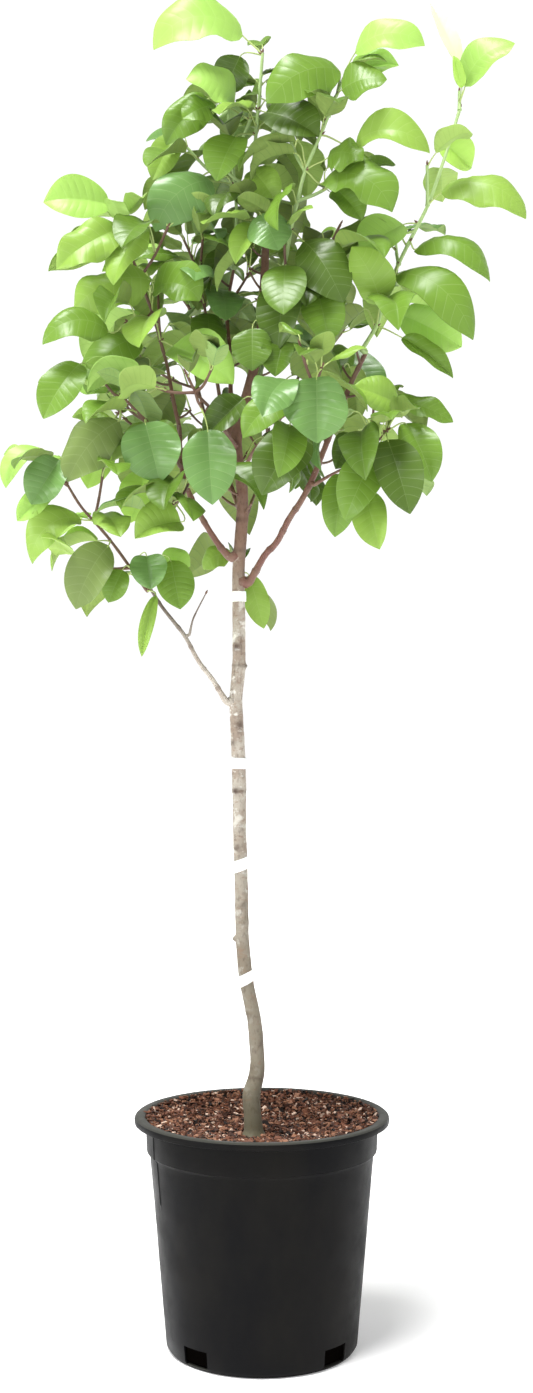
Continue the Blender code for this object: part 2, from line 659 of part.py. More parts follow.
class Crown:
    """The room that has been taken: limbs, the wood of every mass, and the leaves placed so far."""

    def __init__(self, limbs):
        shapes = [tube(*limb, TRUNK_SIDES) for limb in limbs.values()]
        shapes += [tie_shape(name, limbs["trunk"])[:2] for name in TIES]
        self.limbs = [BVHTree.FromPolygons(*shape) for shape in shapes]
        self.wood = {}
        self.spaces = {}
        self.leaves = {}

    def add_wood(self, name, wood):
        self.wood[name] = [BVHTree.FromPolygons(*tube(*twig, STEM_SIDES)) for twig in wood]
        points = [point for line, _ in wood for point in line]
        space = KDTree(len(points))
        for k, point in enumerate(points):
            space.insert(point, k)
        space.balance()
        self.spaces[name] = space
        self.leaves.setdefault(name, [])

    def twig_is_clear(self, name, twig):
        """Whether a side twig clears the limbs, the wood of the other masses and every leaf."""
        line, radii = twig
        free = [line[0].lerp(line[1], 0.3), *line[1:]]
        shape = BVHTree.FromPolygons(*tube(free, [radius + 2 * MM for radius in radii], TWIG_SIDES))
        taken = [tree for other, trees in self.wood.items() if other != name for tree in trees]
        taken += [tree for placed in self.leaves.values() for _, tree in placed]
        return not any(shape.overlap(tree) for tree in self.limbs + taken)

    def keeps_to_space(self, name, leaf):
        """Whether the blade stays near its own mass's wood, mostly out of the others' spaces, and out of gaps."""
        if any(shows_sky(leaf.section(share)[0]) for share in (0.15, 0.5, 0.85)):
            return False
        for share in (0, 0.4, 1):
            point = leaf.section(share)[0]
            own = self.spaces[name].find(point)[2]
            nearest = min(space.find(point)[2] for space in self.spaces.values())
            if own > SPACE_REACH * MM or own > nearest + SPACE_SHARE * MM:
                return False
        return True

    def is_clear(self, name, leaf):
        """Whether the leaf is sound and touches no limb, no other leaf and no wood but where it is rooted."""
        if not leaf.is_sound():
            return False
        whole = BVHTree.FromPolygons(*leaf.shape(LEAF_ROOM * MM))
        if any(whole.overlap(tree) for tree in self.limbs):
            return False
        for other, trees in self.wood.items():
            if other != name and any(whole.overlap(tree) for tree in trees):
                return False
        free = BVHTree.FromPolygons(*leaf.shape(LEAF_ROOM * MM, ROOT_SHARE))
        if any(free.overlap(tree) for tree in self.wood[name]):
            return False
        for other, placed in self.leaves.items():
            mine = free if other == name else whole
            for neighbour, tree in placed:
                near = (neighbour.foot - leaf.foot).length < neighbour.length + leaf.length + 0.07
                if near and mine.overlap(tree):
                    return False
        return True

    def add_leaf(self, name, leaf):
        self.leaves[name].append((leaf, BVHTree.FromPolygons(*leaf.shape())))


def grow_crown(limbs):
    """Wood and leaves of every mass, by name."""
    crown = Crown(limbs)
    masses = {}
    rngs = {}
    for name, (carrier, _, _, _, seed, way) in MASSES.items():
        rngs[name] = random.Random(seed)
        stem = grow_stem(limbs, carrier, way)
        masses[name] = [stem, *reaching_twigs(stem, OUTLINE_LEAVES.get(name, ()))]
        crown.add_wood(name, masses[name])
    for name, rows in OUTLINE_LEAVES.items():
        for row in rows:
            for leaf in placed_leaves(masses[name], *row):
                if crown.is_clear(name, leaf):
                    crown.add_leaf(name, leaf)
                    break
    for name, (_, count, length, _, _, _) in MASSES.items():
        twigs = grow_twigs(masses[name][0], count, length, rngs[name])
        masses[name] += [twig for twig in twigs if crown.twig_is_clear(name, twig)]
        crown.add_wood(name, masses[name])
    for name, (_, _, _, spacing, _, _) in MASSES.items():
        rng = rngs[name]
        azimuth = rng.uniform(0, math.tau)
        for place, heading, youth in leaf_places(masses[name], spacing):
            azimuth += SPIRAL
            for _ in range(TRIES):
                leaf = rule_leaf(place, heading, youth, azimuth, rng)
                if crown.keeps_to_space(name, leaf) and crown.is_clear(name, leaf):
                    crown.add_leaf(name, leaf)
                    break
    return {name: (wood, [leaf for leaf, _ in crown.leaves[name]]) for name, wood in masses.items()}


def make_material(name, colour, roughness):
    material = bpy.data.materials.new(name)
    material.use_nodes = True
    shader = material.node_tree.nodes["Principled BSDF"]
    shader.inputs["Base Color"].default_value = (*colour, 1)
    shader.inputs["Roughness"].default_value = roughness
    shader.inputs["Metallic"].default_value = 0
    return material


def make_object(name, shape, material, place, collection=None):
    """An object at a place, from vertices and faces, with its faces turned outward and round sides smooth."""
    vertices, faces = shape
    mesh = bpy.data.meshes.new(name)
    mesh.from_pydata([vertex - place for vertex in vertices], [], faces)
    draft = bmesh.new()
    draft.from_mesh(mesh)
    bmesh.ops.recalc_face_normals(draft, faces=draft.faces)
    draft.to_mesh(mesh)
    draft.free()
    mesh.shade_smooth()
    mesh.set_sharp_from_angle(angle=math.radians(35))
    mesh.materials.append(material)
    obj = bpy.data.objects.new(name, mesh)
    obj.location = place
    (collection or bpy.context.scene.collection).objects.link(obj)
    return obj


def keep_largest(mesh):
    """Drops any loose scrap and any face without area that a union left."""
    draft = bmesh.new()
    draft.from_mesh(mesh)
    bmesh.ops.triangulate(draft, faces=draft.faces)
    bmesh.ops.dissolve_degenerate(draft, edges=draft.edges, dist=0.02 * MM)
    unseen = set(draft.faces)
    shells = []
    while unseen:
        shell = [unseen.pop()]
        for face in shell:
            for edge in face.edges:
                for neighbour in edge.link_faces:
                    if neighbour in unseen:
                        unseen.remove(neighbour)
                        shell.append(neighbour)
        shells.append(shell)
    shells.sort(key=len)
    scraps = [face for shell in shells[:-1] for face in shell]
    bmesh.ops.delete(draft, geom=scraps, context="FACES")
    bmesh.ops.delete(draft, geom=[edge for edge in draft.edges if not edge.link_faces], context="EDGES")
    bmesh.ops.delete(draft, geom=[vertex for vertex in draft.verts if not vertex.link_faces], context="VERTS")
    draft.to_mesh(mesh)
    draft.free()


def make_mass(name, wood, leaves, material):
    """One mass: its stem, with its side twigs and leaves joined to it by one union."""
    obj = make_object(name, tube(*wood[0], STEM_SIDES), material, wood[0][0][0])
    helpers = bpy.data.collections.new(name + "_pieces")
    bpy.context.scene.collection.children.link(helpers)
    for line, radii in wood[1:]:
        make_object("twig", tube(line, radii, TWIG_SIDES), material, line[0], helpers)
    for leaf in leaves:
        make_object("leaf", leaf.shape(), material, leaf.root, helpers)
    union = obj.modifiers.new("union", "BOOLEAN")
    union.operation = "UNION"
    union.operand_type = "COLLECTION"
    union.collection = helpers
    union.solver = "EXACT"
    joined = bpy.data.meshes.new_from_object(obj.evaluated_get(bpy.context.evaluated_depsgraph_get()))
    obj.modifiers.clear()
    obj.data = joined
    keep_largest(joined)
    for piece in list(helpers.objects):
        bpy.data.objects.remove(piece)
    bpy.data.collections.remove(helpers)
    return obj


def pot_profile():
    """The pot's outline, up the outside, over the rolled rim and down the inside to the floor."""
    under_rim = POT_HEIGHT - RIM_DROP
    return (
        (0, 0),
        (BASE_RADIUS, 0),
        (BODY_FOOT_RADIUS, BASE_CORNER),
        (BODY_TOP_RADIUS, COLLAR_FOOT - POT_WALL),
        (COLLAR_RADIUS - 1, COLLAR_FOOT),
        (COLLAR_RADIUS, under_rim),
        (RIM_RADIUS, under_rim),
        (RIM_RADIUS, POT_HEIGHT - 2.5),
        (RIM_FLAT_RADIUS, POT_HEIGHT),
        (MOUTH_RADIUS + 1.5, POT_HEIGHT),
        (COLLAR_RADIUS - POT_WALL, POT_HEIGHT - 3),
        (COLLAR_RADIUS - POT_WALL - 1, COLLAR_FOOT + POT_WALL),
        (BODY_TOP_RADIUS - POT_WALL, COLLAR_FOOT - POT_WALL),
        (BODY_FOOT_RADIUS - POT_WALL, BASE_CORNER + 2),
        (BASE_RADIUS - POT_WALL, POT_FLOOR),
        (0, POT_FLOOR),
    )


def make_pot():
    material = make_material("pot", *BLACK_PLASTIC)
    pot = make_object("pot", turned_solid(pot_profile(), POT_SIDES), material, Vector())
    cutters = bmesh.new()
    for angle in DRAIN_ANGLES:
        turn = Matrix.Rotation(math.radians(angle - 90), 4, "Z")
        place = Matrix.Translation(metres((BODY_FOOT_RADIUS, 0, POT_FLOOR + DRAIN_HEIGHT / 2)))
        size = Matrix.Diagonal((*metres((4 * POT_WALL + 6, DRAIN_WIDTH, DRAIN_HEIGHT)), 1))
        bmesh.ops.create_cube(cutters, size=1, matrix=turn @ place @ size)
    mesh = bpy.data.meshes.new("drain_cutter")
    cutters.to_mesh(mesh)
    cutters.free()
    cutter = bpy.data.objects.new("drain_cutter", mesh)
    bpy.context.scene.collection.objects.link(cutter)
    cutter.hide_render = True
    cutter.display_type = "WIRE"
    drains = pot.modifiers.new("drains", "BOOLEAN")
    drains.operation = "DIFFERENCE"
    drains.object = cutter
    drains.solver = "EXACT"
    return pot


def make_soil():
    """The potting mix: a gap inside the pot's wall, dished at the top and a little rough there."""
    wall = POT_WALL + 1.4 * GAP
    profile = (
        (0, POT_FLOOR + GAP),
        (BASE_RADIUS - wall, POT_FLOOR + GAP),
        (BODY_FOOT_RADIUS - wall, BASE_CORNER + 2 + GAP),
        (BODY_TOP_RADIUS - wall, COLLAR_FOOT - POT_WALL),
        (COLLAR_RADIUS - 1 - wall, COLLAR_FOOT + POT_WALL + GAP),
        (COLLAR_RADIUS - wall, SOIL_EDGE),
        (0.72 * COLLAR_RADIUS, SOIL_EDGE - 4),
        (SOIL_LEVEL_RADIUS, SOIL_MIDDLE),
        (0, SOIL_MIDDLE),
    )
    vertices, faces = turned_solid(profile, POT_SIDES)
    rng = random.Random(3)
    level = SOIL_LEVEL_RADIUS * MM + 1e-6
    edge = (COLLAR_RADIUS - wall - 1) * MM
    for vertex in vertices:
        if vertex.z > SOIL_MIDDLE * MM and level < vertex.xy.length < edge:
            vertex.z += rng.uniform(-SOIL_ROUGHNESS, SOIL_ROUGHNESS) * MM
    return make_object("soil", (vertices, faces), make_material("soil", *POTTING_MIX), Vector())


def main():
    for obj in list(bpy.data.objects):
        bpy.data.objects.remove(obj)
    pieces = [make_pot(), make_soil()]
    limbs = grow_limbs()
    for name, (line, radii) in limbs.items():
        is_trunk = name == "trunk"
        shape = tube(line, radii, TRUNK_SIDES if is_trunk else LIMB_SIDES, is_trunk)
        material = make_material(name, *(GREY_BARK if is_trunk else RED_BARK))
        pieces.append(make_object(name, shape, material, line[0]))
    for name in TIES:
        vertices, faces, middle = tie_shape(name, limbs["trunk"])
        pieces.append(make_object(name, (vertices, faces), make_material(name, *WHITE_BAND), middle))
    for k, (name, (wood, leaves)) in enumerate(grow_crown(limbs).items()):
        pieces.append(make_mass(name, wood, leaves, make_material(name, *GREENS[k % len(GREENS)])))
    tree = bpy.data.objects.new("potted_tree", None)
    bpy.context.scene.collection.objects.link(tree)
    for piece in pieces:
        piece.parent = tree


main()
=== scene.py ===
import itertools
import math
import random

import bpy
import numpy as np
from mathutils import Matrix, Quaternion, Vector, noise
from mathutils.bvhtree import BVHTree
from mathutils.kdtree import KDTree


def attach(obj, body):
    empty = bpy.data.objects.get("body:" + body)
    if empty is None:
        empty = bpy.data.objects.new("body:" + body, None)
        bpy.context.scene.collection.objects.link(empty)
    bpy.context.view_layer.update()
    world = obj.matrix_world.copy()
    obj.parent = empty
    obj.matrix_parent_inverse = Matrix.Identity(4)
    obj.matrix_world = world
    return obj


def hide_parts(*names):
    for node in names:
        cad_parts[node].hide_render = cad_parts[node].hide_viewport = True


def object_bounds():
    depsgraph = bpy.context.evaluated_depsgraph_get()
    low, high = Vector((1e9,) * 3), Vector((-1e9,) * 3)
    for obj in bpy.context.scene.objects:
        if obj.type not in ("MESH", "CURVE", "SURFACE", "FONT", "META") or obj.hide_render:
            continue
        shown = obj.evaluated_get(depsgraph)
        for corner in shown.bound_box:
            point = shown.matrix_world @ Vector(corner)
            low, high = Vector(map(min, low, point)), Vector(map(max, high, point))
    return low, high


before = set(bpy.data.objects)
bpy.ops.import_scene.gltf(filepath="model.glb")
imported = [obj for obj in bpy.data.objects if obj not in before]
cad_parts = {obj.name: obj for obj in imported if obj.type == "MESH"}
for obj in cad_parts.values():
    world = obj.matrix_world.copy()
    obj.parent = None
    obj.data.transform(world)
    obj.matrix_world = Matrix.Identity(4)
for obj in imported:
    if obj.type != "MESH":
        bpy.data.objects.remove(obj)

# Looks of the potted pear tree. Tables are in millimetres and meshes in metres. The tree grows by the same
# rule as its solids, from the same sizes, and then goes on to finer leaves, spurs and buds.
CAD_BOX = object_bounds()
MM = 0.001
GAP = 0.3
UP = Vector((0, 0, 1))

# Pot: radii and heights, the drain notches' middles and half width as bearings in degrees, and the rows of
# points on its foot, as steps outside the base and heights, and on its body
POT_HEIGHT = 255
POT_WALL = 2
POT_FLOOR = 3
RIM_RADIUS = 140
RIM_DROP = 8
MOUTH_RADIUS = 128
COLLAR_RADIUS = 127.5
COLLAR_FOOT = 217
BODY_TOP_RADIUS = 123
BODY_FOOT_RADIUS = 105
BASE_RADIUS = 101
BASE_CORNER = 5
POT_STEPS = 180
DRAIN_MIDDLES = (-132, -42, 48, 138)
DRAIN_HALF_ANGLE = 9
DRAIN_TOP = 23
ANGLE_PLAY = 0.01
INNER_RING = 50
FOOT_STEPS = ((-1.5, 0), (0.6, 0.8), (2.2, POT_FLOOR))
BODY_HEIGHTS = (6, DRAIN_TOP, 24.2, *range(36, 165, 12), 166, 168, 170, 182, 194, 206, 212.5)

# Its upright mould rib, with bearings in degrees, and the faint lumps of its wall
RIB_ANGLE = -156
RIB_WIDTH = 2.2
RIB_RISE = 0.9
RIB_FOOT = 168
RADIAN = 57.3
RIB_TURNS = (-1.3, -0.8, -0.45, -0.15, 0.15, 0.45, 0.8, 1.3)
POT_LUMPS = 1.5
POT_LUMP_HEIGHT = 90
POT_LUMP_RISE = 0.25

# Its outline from the body's top over the rim and down inside: a radius, then steps outside it and heights
UNDER_RIM = POT_HEIGHT - RIM_DROP
RIM_STEPS = (
    (BODY_TOP_RADIUS, ((0.3, 214), (1.4, 215.6))),
    (COLLAR_RADIUS, ((-1.4, 216.8), (-1, 218.2), (-0.6, 230), (-0.1, 242), (0, 245.6))),
    (COLLAR_RADIUS, ((0.7, UNDER_RIM - 0.3), (2.5, UNDER_RIM))),
    (RIM_RADIUS, ((-1.6, UNDER_RIM), (-0.4, UNDER_RIM + 0.6), (0, UNDER_RIM + 2))),
    (RIM_RADIUS, ((0, POT_HEIGHT - 3.4), (-0.7, POT_HEIGHT - 1.4), (-2.2, POT_HEIGHT - 0.3))),
    (RIM_RADIUS, ((-4.4, POT_HEIGHT),)),
    (MOUTH_RADIUS, ((3, POT_HEIGHT), (0.8, POT_HEIGHT - 0.5), (-0.9, POT_HEIGHT - 1.8))),
    (COLLAR_RADIUS - POT_WALL, ((-0.1, POT_HEIGHT - 4.5), (-1, COLLAR_FOOT + POT_WALL))),
    (BODY_TOP_RADIUS - POT_WALL, ((0, 215),)),
)
INSIDE_HEIGHTS = (DRAIN_TOP, 7)

# Soil: a shallow dish with a level middle, its lumps as rise and number to the metre, and its side's radii
# and heights from the underside up
SOIL_MIDDLE = 239
SOIL_EDGE = 250
SOIL_LEVEL_RADIUS = 58
SOIL_SHOULDER_RADIUS = 92
SOIL_SHOULDER = 246
SOIL_RADIUS = 124.8
SOIL_RINGS = 46
SOIL_SIDES = 120
SOIL_LUMPS = ((1.3, 130), (0.7, 350))
SOIL_UNDER_ROWS = ((98.4, 3.4), (102.4, 7.5), (120.4, 215), (123.9, 219.5))

# Bark chips on it: their number, how far out and how high they lie, the heap at the pot's wall, how far they
# tilt in radians, the bare place round the trunk, their sizes, and shares by which each one's corners vary
CHIP_COUNT = 9500
CHIP_SEED = 21
CHIP_REACH = 127.5
CHIP_LEVELS = (-0.3, 2.6)
HEAP_WIDTH = 3
HEAP_SLOPE = 0.6
CHIPS_OVER_RIM = 0.5
CHIP_TILTS = (0.45, 0.4)
BARE_RADIUS = 11
USUAL_CHIP = 2.5
LONGEST_CHIP = 12
CHIP_SPREAD = (0.4, 0.45)
CHIP_WIDTHS = (0.3, 0.65)
CHIP_HEIGHTS = (0.8, 2.4)
CHIP_CORNERS = (0.6, 1.1)

# Trunk: across, back, height, thickness, from the flat cut on the soil to the cut tip of the leader
TRUNK = (
    (-9, -37, SOIL_MIDDLE + GAP, 26),
    (-9, -37, 246, 20),
    (-10, -37, 262, 18),
    (-11, -36, 285, 18.5),
    (-5, -36, 308, 15),
    (-6, -35, 340, 14.6),
    (-9, -35, 368, 14.4),
    (-16, -34, 402, 14.4),
    (-21, -33, 449, 14),
    (-22, -33, 500, 13.8),
    (-24, -34, 570, 14.2),
    (-25, -36, 640, 14.4),
    (-28, -36, 712, 13.4),
    (-25, -36, 745, 13.4),
    (-25, -35, 805, 13.4),
    (-25, -34, 858, 12.8),
    (-21, -33, 912, 12.2),
    (-22, -32, 945, 12),
    (-28, -31, 991, 12),
    (-19, -29, 1032, 10.6),
    (-4, -24, 1092, 9.2),
    (2, -21, 1160, 8.4),
    (6, -18, 1258, 7),
)
TRUNK_SIDES = 10
TRUNK_STEP = 28

# Limbs: the limb that carries each one, its thickness at the foot and at the tip, and the way it takes
LIMBS = {
    "bough_low_left": ("trunk", 5.4, 3.4, ((-31, -36, 709), (-53, -45, 732), (-68, -50, 752),
                                           (-82, -55, 778), (-106, -62, 809), (-119, -65, 829))),
    "twig_bare": ("bough_low_left", 2.2, 1.3, ((-82, -55, 778), (-74, -60, 795), (-69, -62, 806),
                                               (-60, -66, 823))),
    "bough_left": ("trunk", 7.0, 3.6, ((-28, -34, 865), (-48, -38, 880), (-65, -42, 907), (-80, -45, 937),
                                       (-87, -46, 964), (-89, -42, 1003), (-95, -38, 1031),
                                       (-102, -34, 1069))),
    "bough_right": ("trunk", 7.4, 5.0, ((-23, -35, 838), (3, -42, 866), (16, -46, 880), (29, -52, 904),
                                        (43, -56, 925), (54, -60, 946), (71, -64, 989), (97, -64, 1052),
                                        (111, -62, 1081))),
    "bough_right_side": ("bough_right", 3.2, 2.6, ((54, -60, 942), (74, -78, 949), (96, -95, 958))),
    "bough_middle": ("trunk", 5.4, 3.2, ((-28, -31, 1003), (-34, -20, 1041), (-36, -5, 1103),
                                         (-39, 5, 1138), (-31, 10, 1188))),
    "bough_middle_left": ("trunk", 5.8, 3.4, ((-29, -31, 972), (-45, -5, 1035), (-50, 10, 1065),
                                              (-55, 20, 1102))),
    "bough_back_left": ("trunk", 5.6, 3.4, ((-22, -32, 921), (-44, 25, 974), (-63, 70, 1028))),
    "bough_back_right": ("trunk", 5.6, 3.4, ((-21, -32, 946), (7, 30, 1000), (32, 75, 1051))),
    "bough_front": ("trunk", 4.6, 3.2, ((-25, -31, 955), (-8, -75, 975), (17, -115, 995))),
    "bough_front_left": ("trunk", 4.6, 3.2, ((-27, -31, 986), (-42, -75, 1000), (-57, -100, 1013))),
}
LIMB_STEP = 26
COLLAR_SWELL = 0.25
COLLAR_REACH = 12
KNEE = 1.5

# Ties: height of the middle on the trunk, height of the band, and its slant up to the right in degrees
TIES = {
    "tie_top": (822, 11, 0),
    "tie_upper": (642, 12, -4),
    "tie_middle": (532, 13, 18),
    "tie_low": (409, 12, 20),
}
TIE_THICKNESS = 0.8
TIE_SIDES = 12

# Their tape: its slack, how snug it lies, and its cut end as distances out and along, bearing and sizes
TAPE_SIDES = 72
TAPE_SLACK = 0.22
TAPE_SNUG = 0.15
TAPE_END = ((0.1, 0), (1.0, 4), (2.6, 8))
TAPE_END_THICKNESS = 0.6
TAPE_END_INSET = 0.8
TAPE_END_SINK = 0.4
TAPE_END_BEARING = math.radians(75)

# Masses: the limb that carries the stem, side twigs, their length, leaf spacing, seed, and the stem's way
MASSES = {
    "leaves_low_left": ("bough_low_left", 2, 55, 46, 11,
                        ((-119, -65, 829), (-160, -80, 879), (-191, -90, 915), (-205, -95, 938))),
    "leaves_left_spur": ("bough_left", 1, 45, 24, 12, ((-80, -45, 937), (-92, -80, 919), (-108, -110, 905))),
    "leaves_left_far": ("bough_left", 2, 50, 30, 13,
                        ((-87, -46, 962), (-99, -70, 982), (-121, -92, 1003), (-146, -100, 1028))),
    "leaves_left_top": ("bough_left", 3, 60, 40, 14,
                        ((-102, -34, 1069), (-118, -45, 1127), (-131, -52, 1163), (-149, -58, 1212))),
    "leaves_top_left": ("bough_middle", 3, 65, 30, 15,
                        ((-31, 10, 1188), (-28, 2, 1243), (-33, -10, 1305), (-37, -18, 1355))),
    "leaves_top": ("trunk", 3, 60, 30, 16,
                   ((4, -22, 1210), (-6, -34, 1261), (-8, -42, 1296), (-4, -46, 1344), (1, -50, 1405))),
    "leaves_top_right": ("trunk", 3, 55, 38, 17,
                         ((4, -22, 1156), (23, -50, 1175), (31, -62, 1211), (46, -76, 1271),
                          (62, -82, 1307), (71, -86, 1328))),
    "leaves_right_top": ("bough_right", 2, 50, 46, 18,
                         ((111, -62, 1081), (122, -62, 1109), (135, -62, 1151), (158, -56, 1201),
                          (178, -50, 1241), (198, -40, 1298), (215, -30, 1352))),
    "leaves_right_low": ("bough_right_side", 2, 50, 26, 19,
                         ((96, -95, 958), (113, -106, 973), (131, -115, 990))),
    "leaves_middle_left": ("bough_middle_left", 3, 65, 26, 20,
                           ((-55, 20, 1102), (-65, 12, 1152), (-75, 2, 1192), (-86, -6, 1216))),
    "leaves_middle_right": ("trunk", 3, 60, 26, 21,
                            ((-2, -24, 1123), (28, -52, 1135), (56, -66, 1165), (84, -62, 1218))),
    "leaves_front": ("bough_front", 2, 55, 26, 22,
                     ((17, -115, 995), (35, -145, 1011), (53, -165, 1028), (61, -175, 1046))),
    "leaves_front_left": ("bough_front_left", 2, 50, 26, 23,
                          ((-57, -100, 1013), (-68, -120, 1029), (-78, -135, 1047))),
    "leaves_low": ("trunk", 0, 0, 500, 24, ((-25, -35, 838), (-24, 0, 850), (-21, 20, 865))),
    "leaves_back_left": ("bough_back_left", 4, 70, 48, 25,
                         ((-63, 70, 1028), (-78, 110, 1092), (-84, 130, 1167), (-86, 140, 1239))),
    "leaves_back_right": ("bough_back_right", 4, 65, 42, 26,
                          ((32, 75, 1051), (52, 115, 1110), (58, 140, 1180), (54, 150, 1250))),
    "leaves_back": ("trunk", 3, 60, 40, 27,
                    ((-20, -33, 897), (-11, 40, 934), (1, 95, 974), (8, 140, 1027))),
}
STEM_TIP = 2.6
STEM_SIDES = 5
STEM_STEP = 28
TWIG_FOOT = 3
TWIG_TIP = 2.6
TWIG_SIDES = 3
TWIG_STEP = 40
TIP_DEPTH = 2.5
TWIGS_FROM = 0.15
TWIGS_SPAN = 0.65
TWIG_LONGEST = 1.1
TWIG_SHORTENING = 0.45
TWIG_LENGTHS = (0.85, 1.15)
TWIG_LIFT = 0.18
TWIG_SAG = 0.06
STEM_EXTRA = 0.6
SPIRAL = math.radians(137.5)

# Leaves that draw the crown's outline: foot and tip of the blade, its width, arch and facing in degrees, and
# tone, where facing turns the upper side from the sky, 0, to the front, 90. The tone holds painted light and
# shade as well as the leaf's own colour.
OUTLINE_LEAVES = {
    "leaves_top": (
        ((-22, -50, 1425), (-115, -75, 1408), 58, 100, 38, "fresh"),
        ((-24, -45, 1402), (-41, -35, 1366), 38, 30, 80, "deep"),
        ((-30, -60, 1350), (-80, -85, 1365), 52, 90, 48, "fresh"),
        ((5, -70, 1335), (60, -100, 1300), 50, 40, 65, "deep"),
        ((0, -90, 1220), (18, -105, 1180), 44, 30, 75, "blue"),
    ),
    "leaves_top_left": (
        ((-60, -20, 1365), (-105, -30, 1315), 42, 40, 60, "green"),
        ((-95, -5, 1330), (-120, -10, 1280), 32, 30, 80, "mid"),
        ((-55, -40, 1270), (-115, -60, 1215), 54, 90, 48, "blue"),
    ),
    "leaves_top_right": (
        ((80, -85, 1375), (5, -110, 1335), 52, 80, 54, "green"),
        ((85, -100, 1350), (130, -115, 1355), 44, 60, 55, "green"),
        ((100, -85, 1395), (170, -105, 1395), 36, 95, 46, "fresh"),
        ((97, -70, 1378), (145, -75, 1385), 34, 30, 70, "fresh"),
        ((100, -95, 1295), (175, -110, 1280), 38, 110, 46, "mid"),
        ((70, -95, 1280), (105, -120, 1270), 38, 75, 55, "green"),
        ((65, -90, 1255), (135, -120, 1215), 48, 115, 33, "green"),
        ((45, -80, 1195), (85, -105, 1125), 50, 60, 60, "deep"),
    ),
    "leaves_right_top": (
        ((220, -35, 1375), (272, -50, 1415), 40, 90, 40, "fresh"),
        ((215, -45, 1370), (205, -55, 1400), 14, 20, 60, "lime"),
        ((215, -20, 1405), (185, -5, 1475), 20, 20, 70, "pale"),
        ((195, -20, 1320), (230, 0, 1295), 40, 20, 80, "lime"),
        ((192, -60, 1252), (280, -80, 1222), 46, 100, 32, "mid"),
        ((165, -70, 1190), (240, -90, 1150), 40, 125, 33, "green"),
        ((150, -50, 1220), (105, -60, 1190), 52, 20, 50, "fresh"),
        ((125, -80, 1130), (95, -100, 1185), 40, 60, 60, "mid"),
        ((145, -80, 1160), (220, -100, 1085), 44, 105, 43, "green"),
        ((150, -45, 1125), (215, -45, 1090), 46, 40, 80, "fresh"),
        ((150, -70, 1095), (202, -80, 1050), 26, 45, 65, "green"),
    ),
    "leaves_right_low": (
        ((140, -110, 1020), (95, -120, 1035), 42, 20, 75, "mid"),
        ((140, -95, 1025), (200, -100, 1000), 28, 40, 40, "green"),
        ((150, -125, 995), (175, -140, 935), 40, 50, 65, "green"),
        ((130, -140, 975), (150, -170, 900), 46, 25, 80, "deep"),
        ((115, -135, 960), (85, -150, 895), 42, 40, 70, "green"),
        ((107, -112, 925), (122, -125, 867), 38, 25, 80, "mid"),
        ((84, -112, 945), (76, -118, 880), 36, 25, 80, "green"),
    ),
    "leaves_front": (
        ((55, -190, 1030), (55, -200, 965), 62, 30, 85, "blue"),
        ((40, -150, 985), (0, -165, 920), 54, 30, 75, "deep"),
        ((25, -140, 1025), (-20, -150, 980), 36, 40, 55, "green"),
        ((-20, -100, 1025), (-60, -100, 985), 36, 20, 75, "deep"),
    ),
    "leaves_middle_right": (
        ((-10, -95, 1100), (-10, -105, 1055), 40, 20, 80, "dark"),
        ((60, -85, 1136), (70, -98, 1086), 44, 40, 65, "green"),
    ),
    "leaves_front_left": (((-55, -140, 985), (-50, -160, 910), 52, 30, 80, "blue"),),
    "leaves_left_top": (
        ((-165, -60, 1240), (-230, -80, 1240), 50, 30, 70, "fresh"),
        ((-150, -75, 1210), (-215, -100, 1165), 45, 40, 72, "mid"),
        ((-135, -35, 1178), (-172, -45, 1172), 32, 40, 65, "lime"),
        ((-122, -60, 1160), (-200, -75, 1122), 54, 80, 45, "mid"),
        ((-115, -70, 1145), (-65, -90, 1130), 46, 105, 33, "green"),
        ((-161, -105, 1096), (-226, -130, 1081), 38, 100, 34, "green"),
        ((-95, -50, 1090), (-30, -80, 1045), 54, 45, 65, "fresh"),
        ((-130, -65, 1095), (-185, -80, 1035), 46, 100, 42, "green"),
    ),
    "leaves_left_far": (
        ((-190, -110, 1060), (-225, -130, 1000), 40, 50, 60, "green"),
        ((-150, -110, 1000), (-200, -130, 935), 44, 60, 40, "olive"),
        ((-120, -120, 995), (-105, -130, 935), 58, 30, 75, "blue"),
        ((-165, -70, 985), (-185, -75, 935), 36, 20, 80, "lime"),
        ((-125, -55, 955), (-140, -60, 900), 40, 20, 80, "lime"),
    ),
    "leaves_left_spur": (((-85, -115, 895), (-130, -135, 880), 48, 40, 50, "mid"),),
    "leaves_low_left": (
        ((-190, -95, 900), (-240, -115, 855), 36, 120, 31, "mid"),
        ((-162, -100, 870), (-194, -115, 806), 41, 65, 58, "olive"),
        ((-120, -105, 860), (-115, -115, 825), 40, 20, 80, "blue"),
        ((-95, -95, 855), (-85, -105, 805), 38, 20, 80, "green"),
        ((-112, -90, 818), (-126, -100, 756), 17, 40, 45, "mid"),
        ((-235, -95, 975), (-270, -105, 935), 23, 100, 31, "fresh"),
        ((-210, -115, 960), (-238, -125, 912), 42, 20, 75, "blue"),
        ((-222, -100, 925), (-255, -110, 898), 28, 30, 70, "fresh"),
        ((-106, -70, 862), (-76, -72, 853), 23, 80, 38, "fresh"),
    ),
    "leaves_low": (
        ((-14, -10, 846), (2, -14, 788), 26, 30, 70, "mid"),
        ((-35, 0, 870), (-65, 0, 855), 26, 95, 36, "mid"),
    ),
}

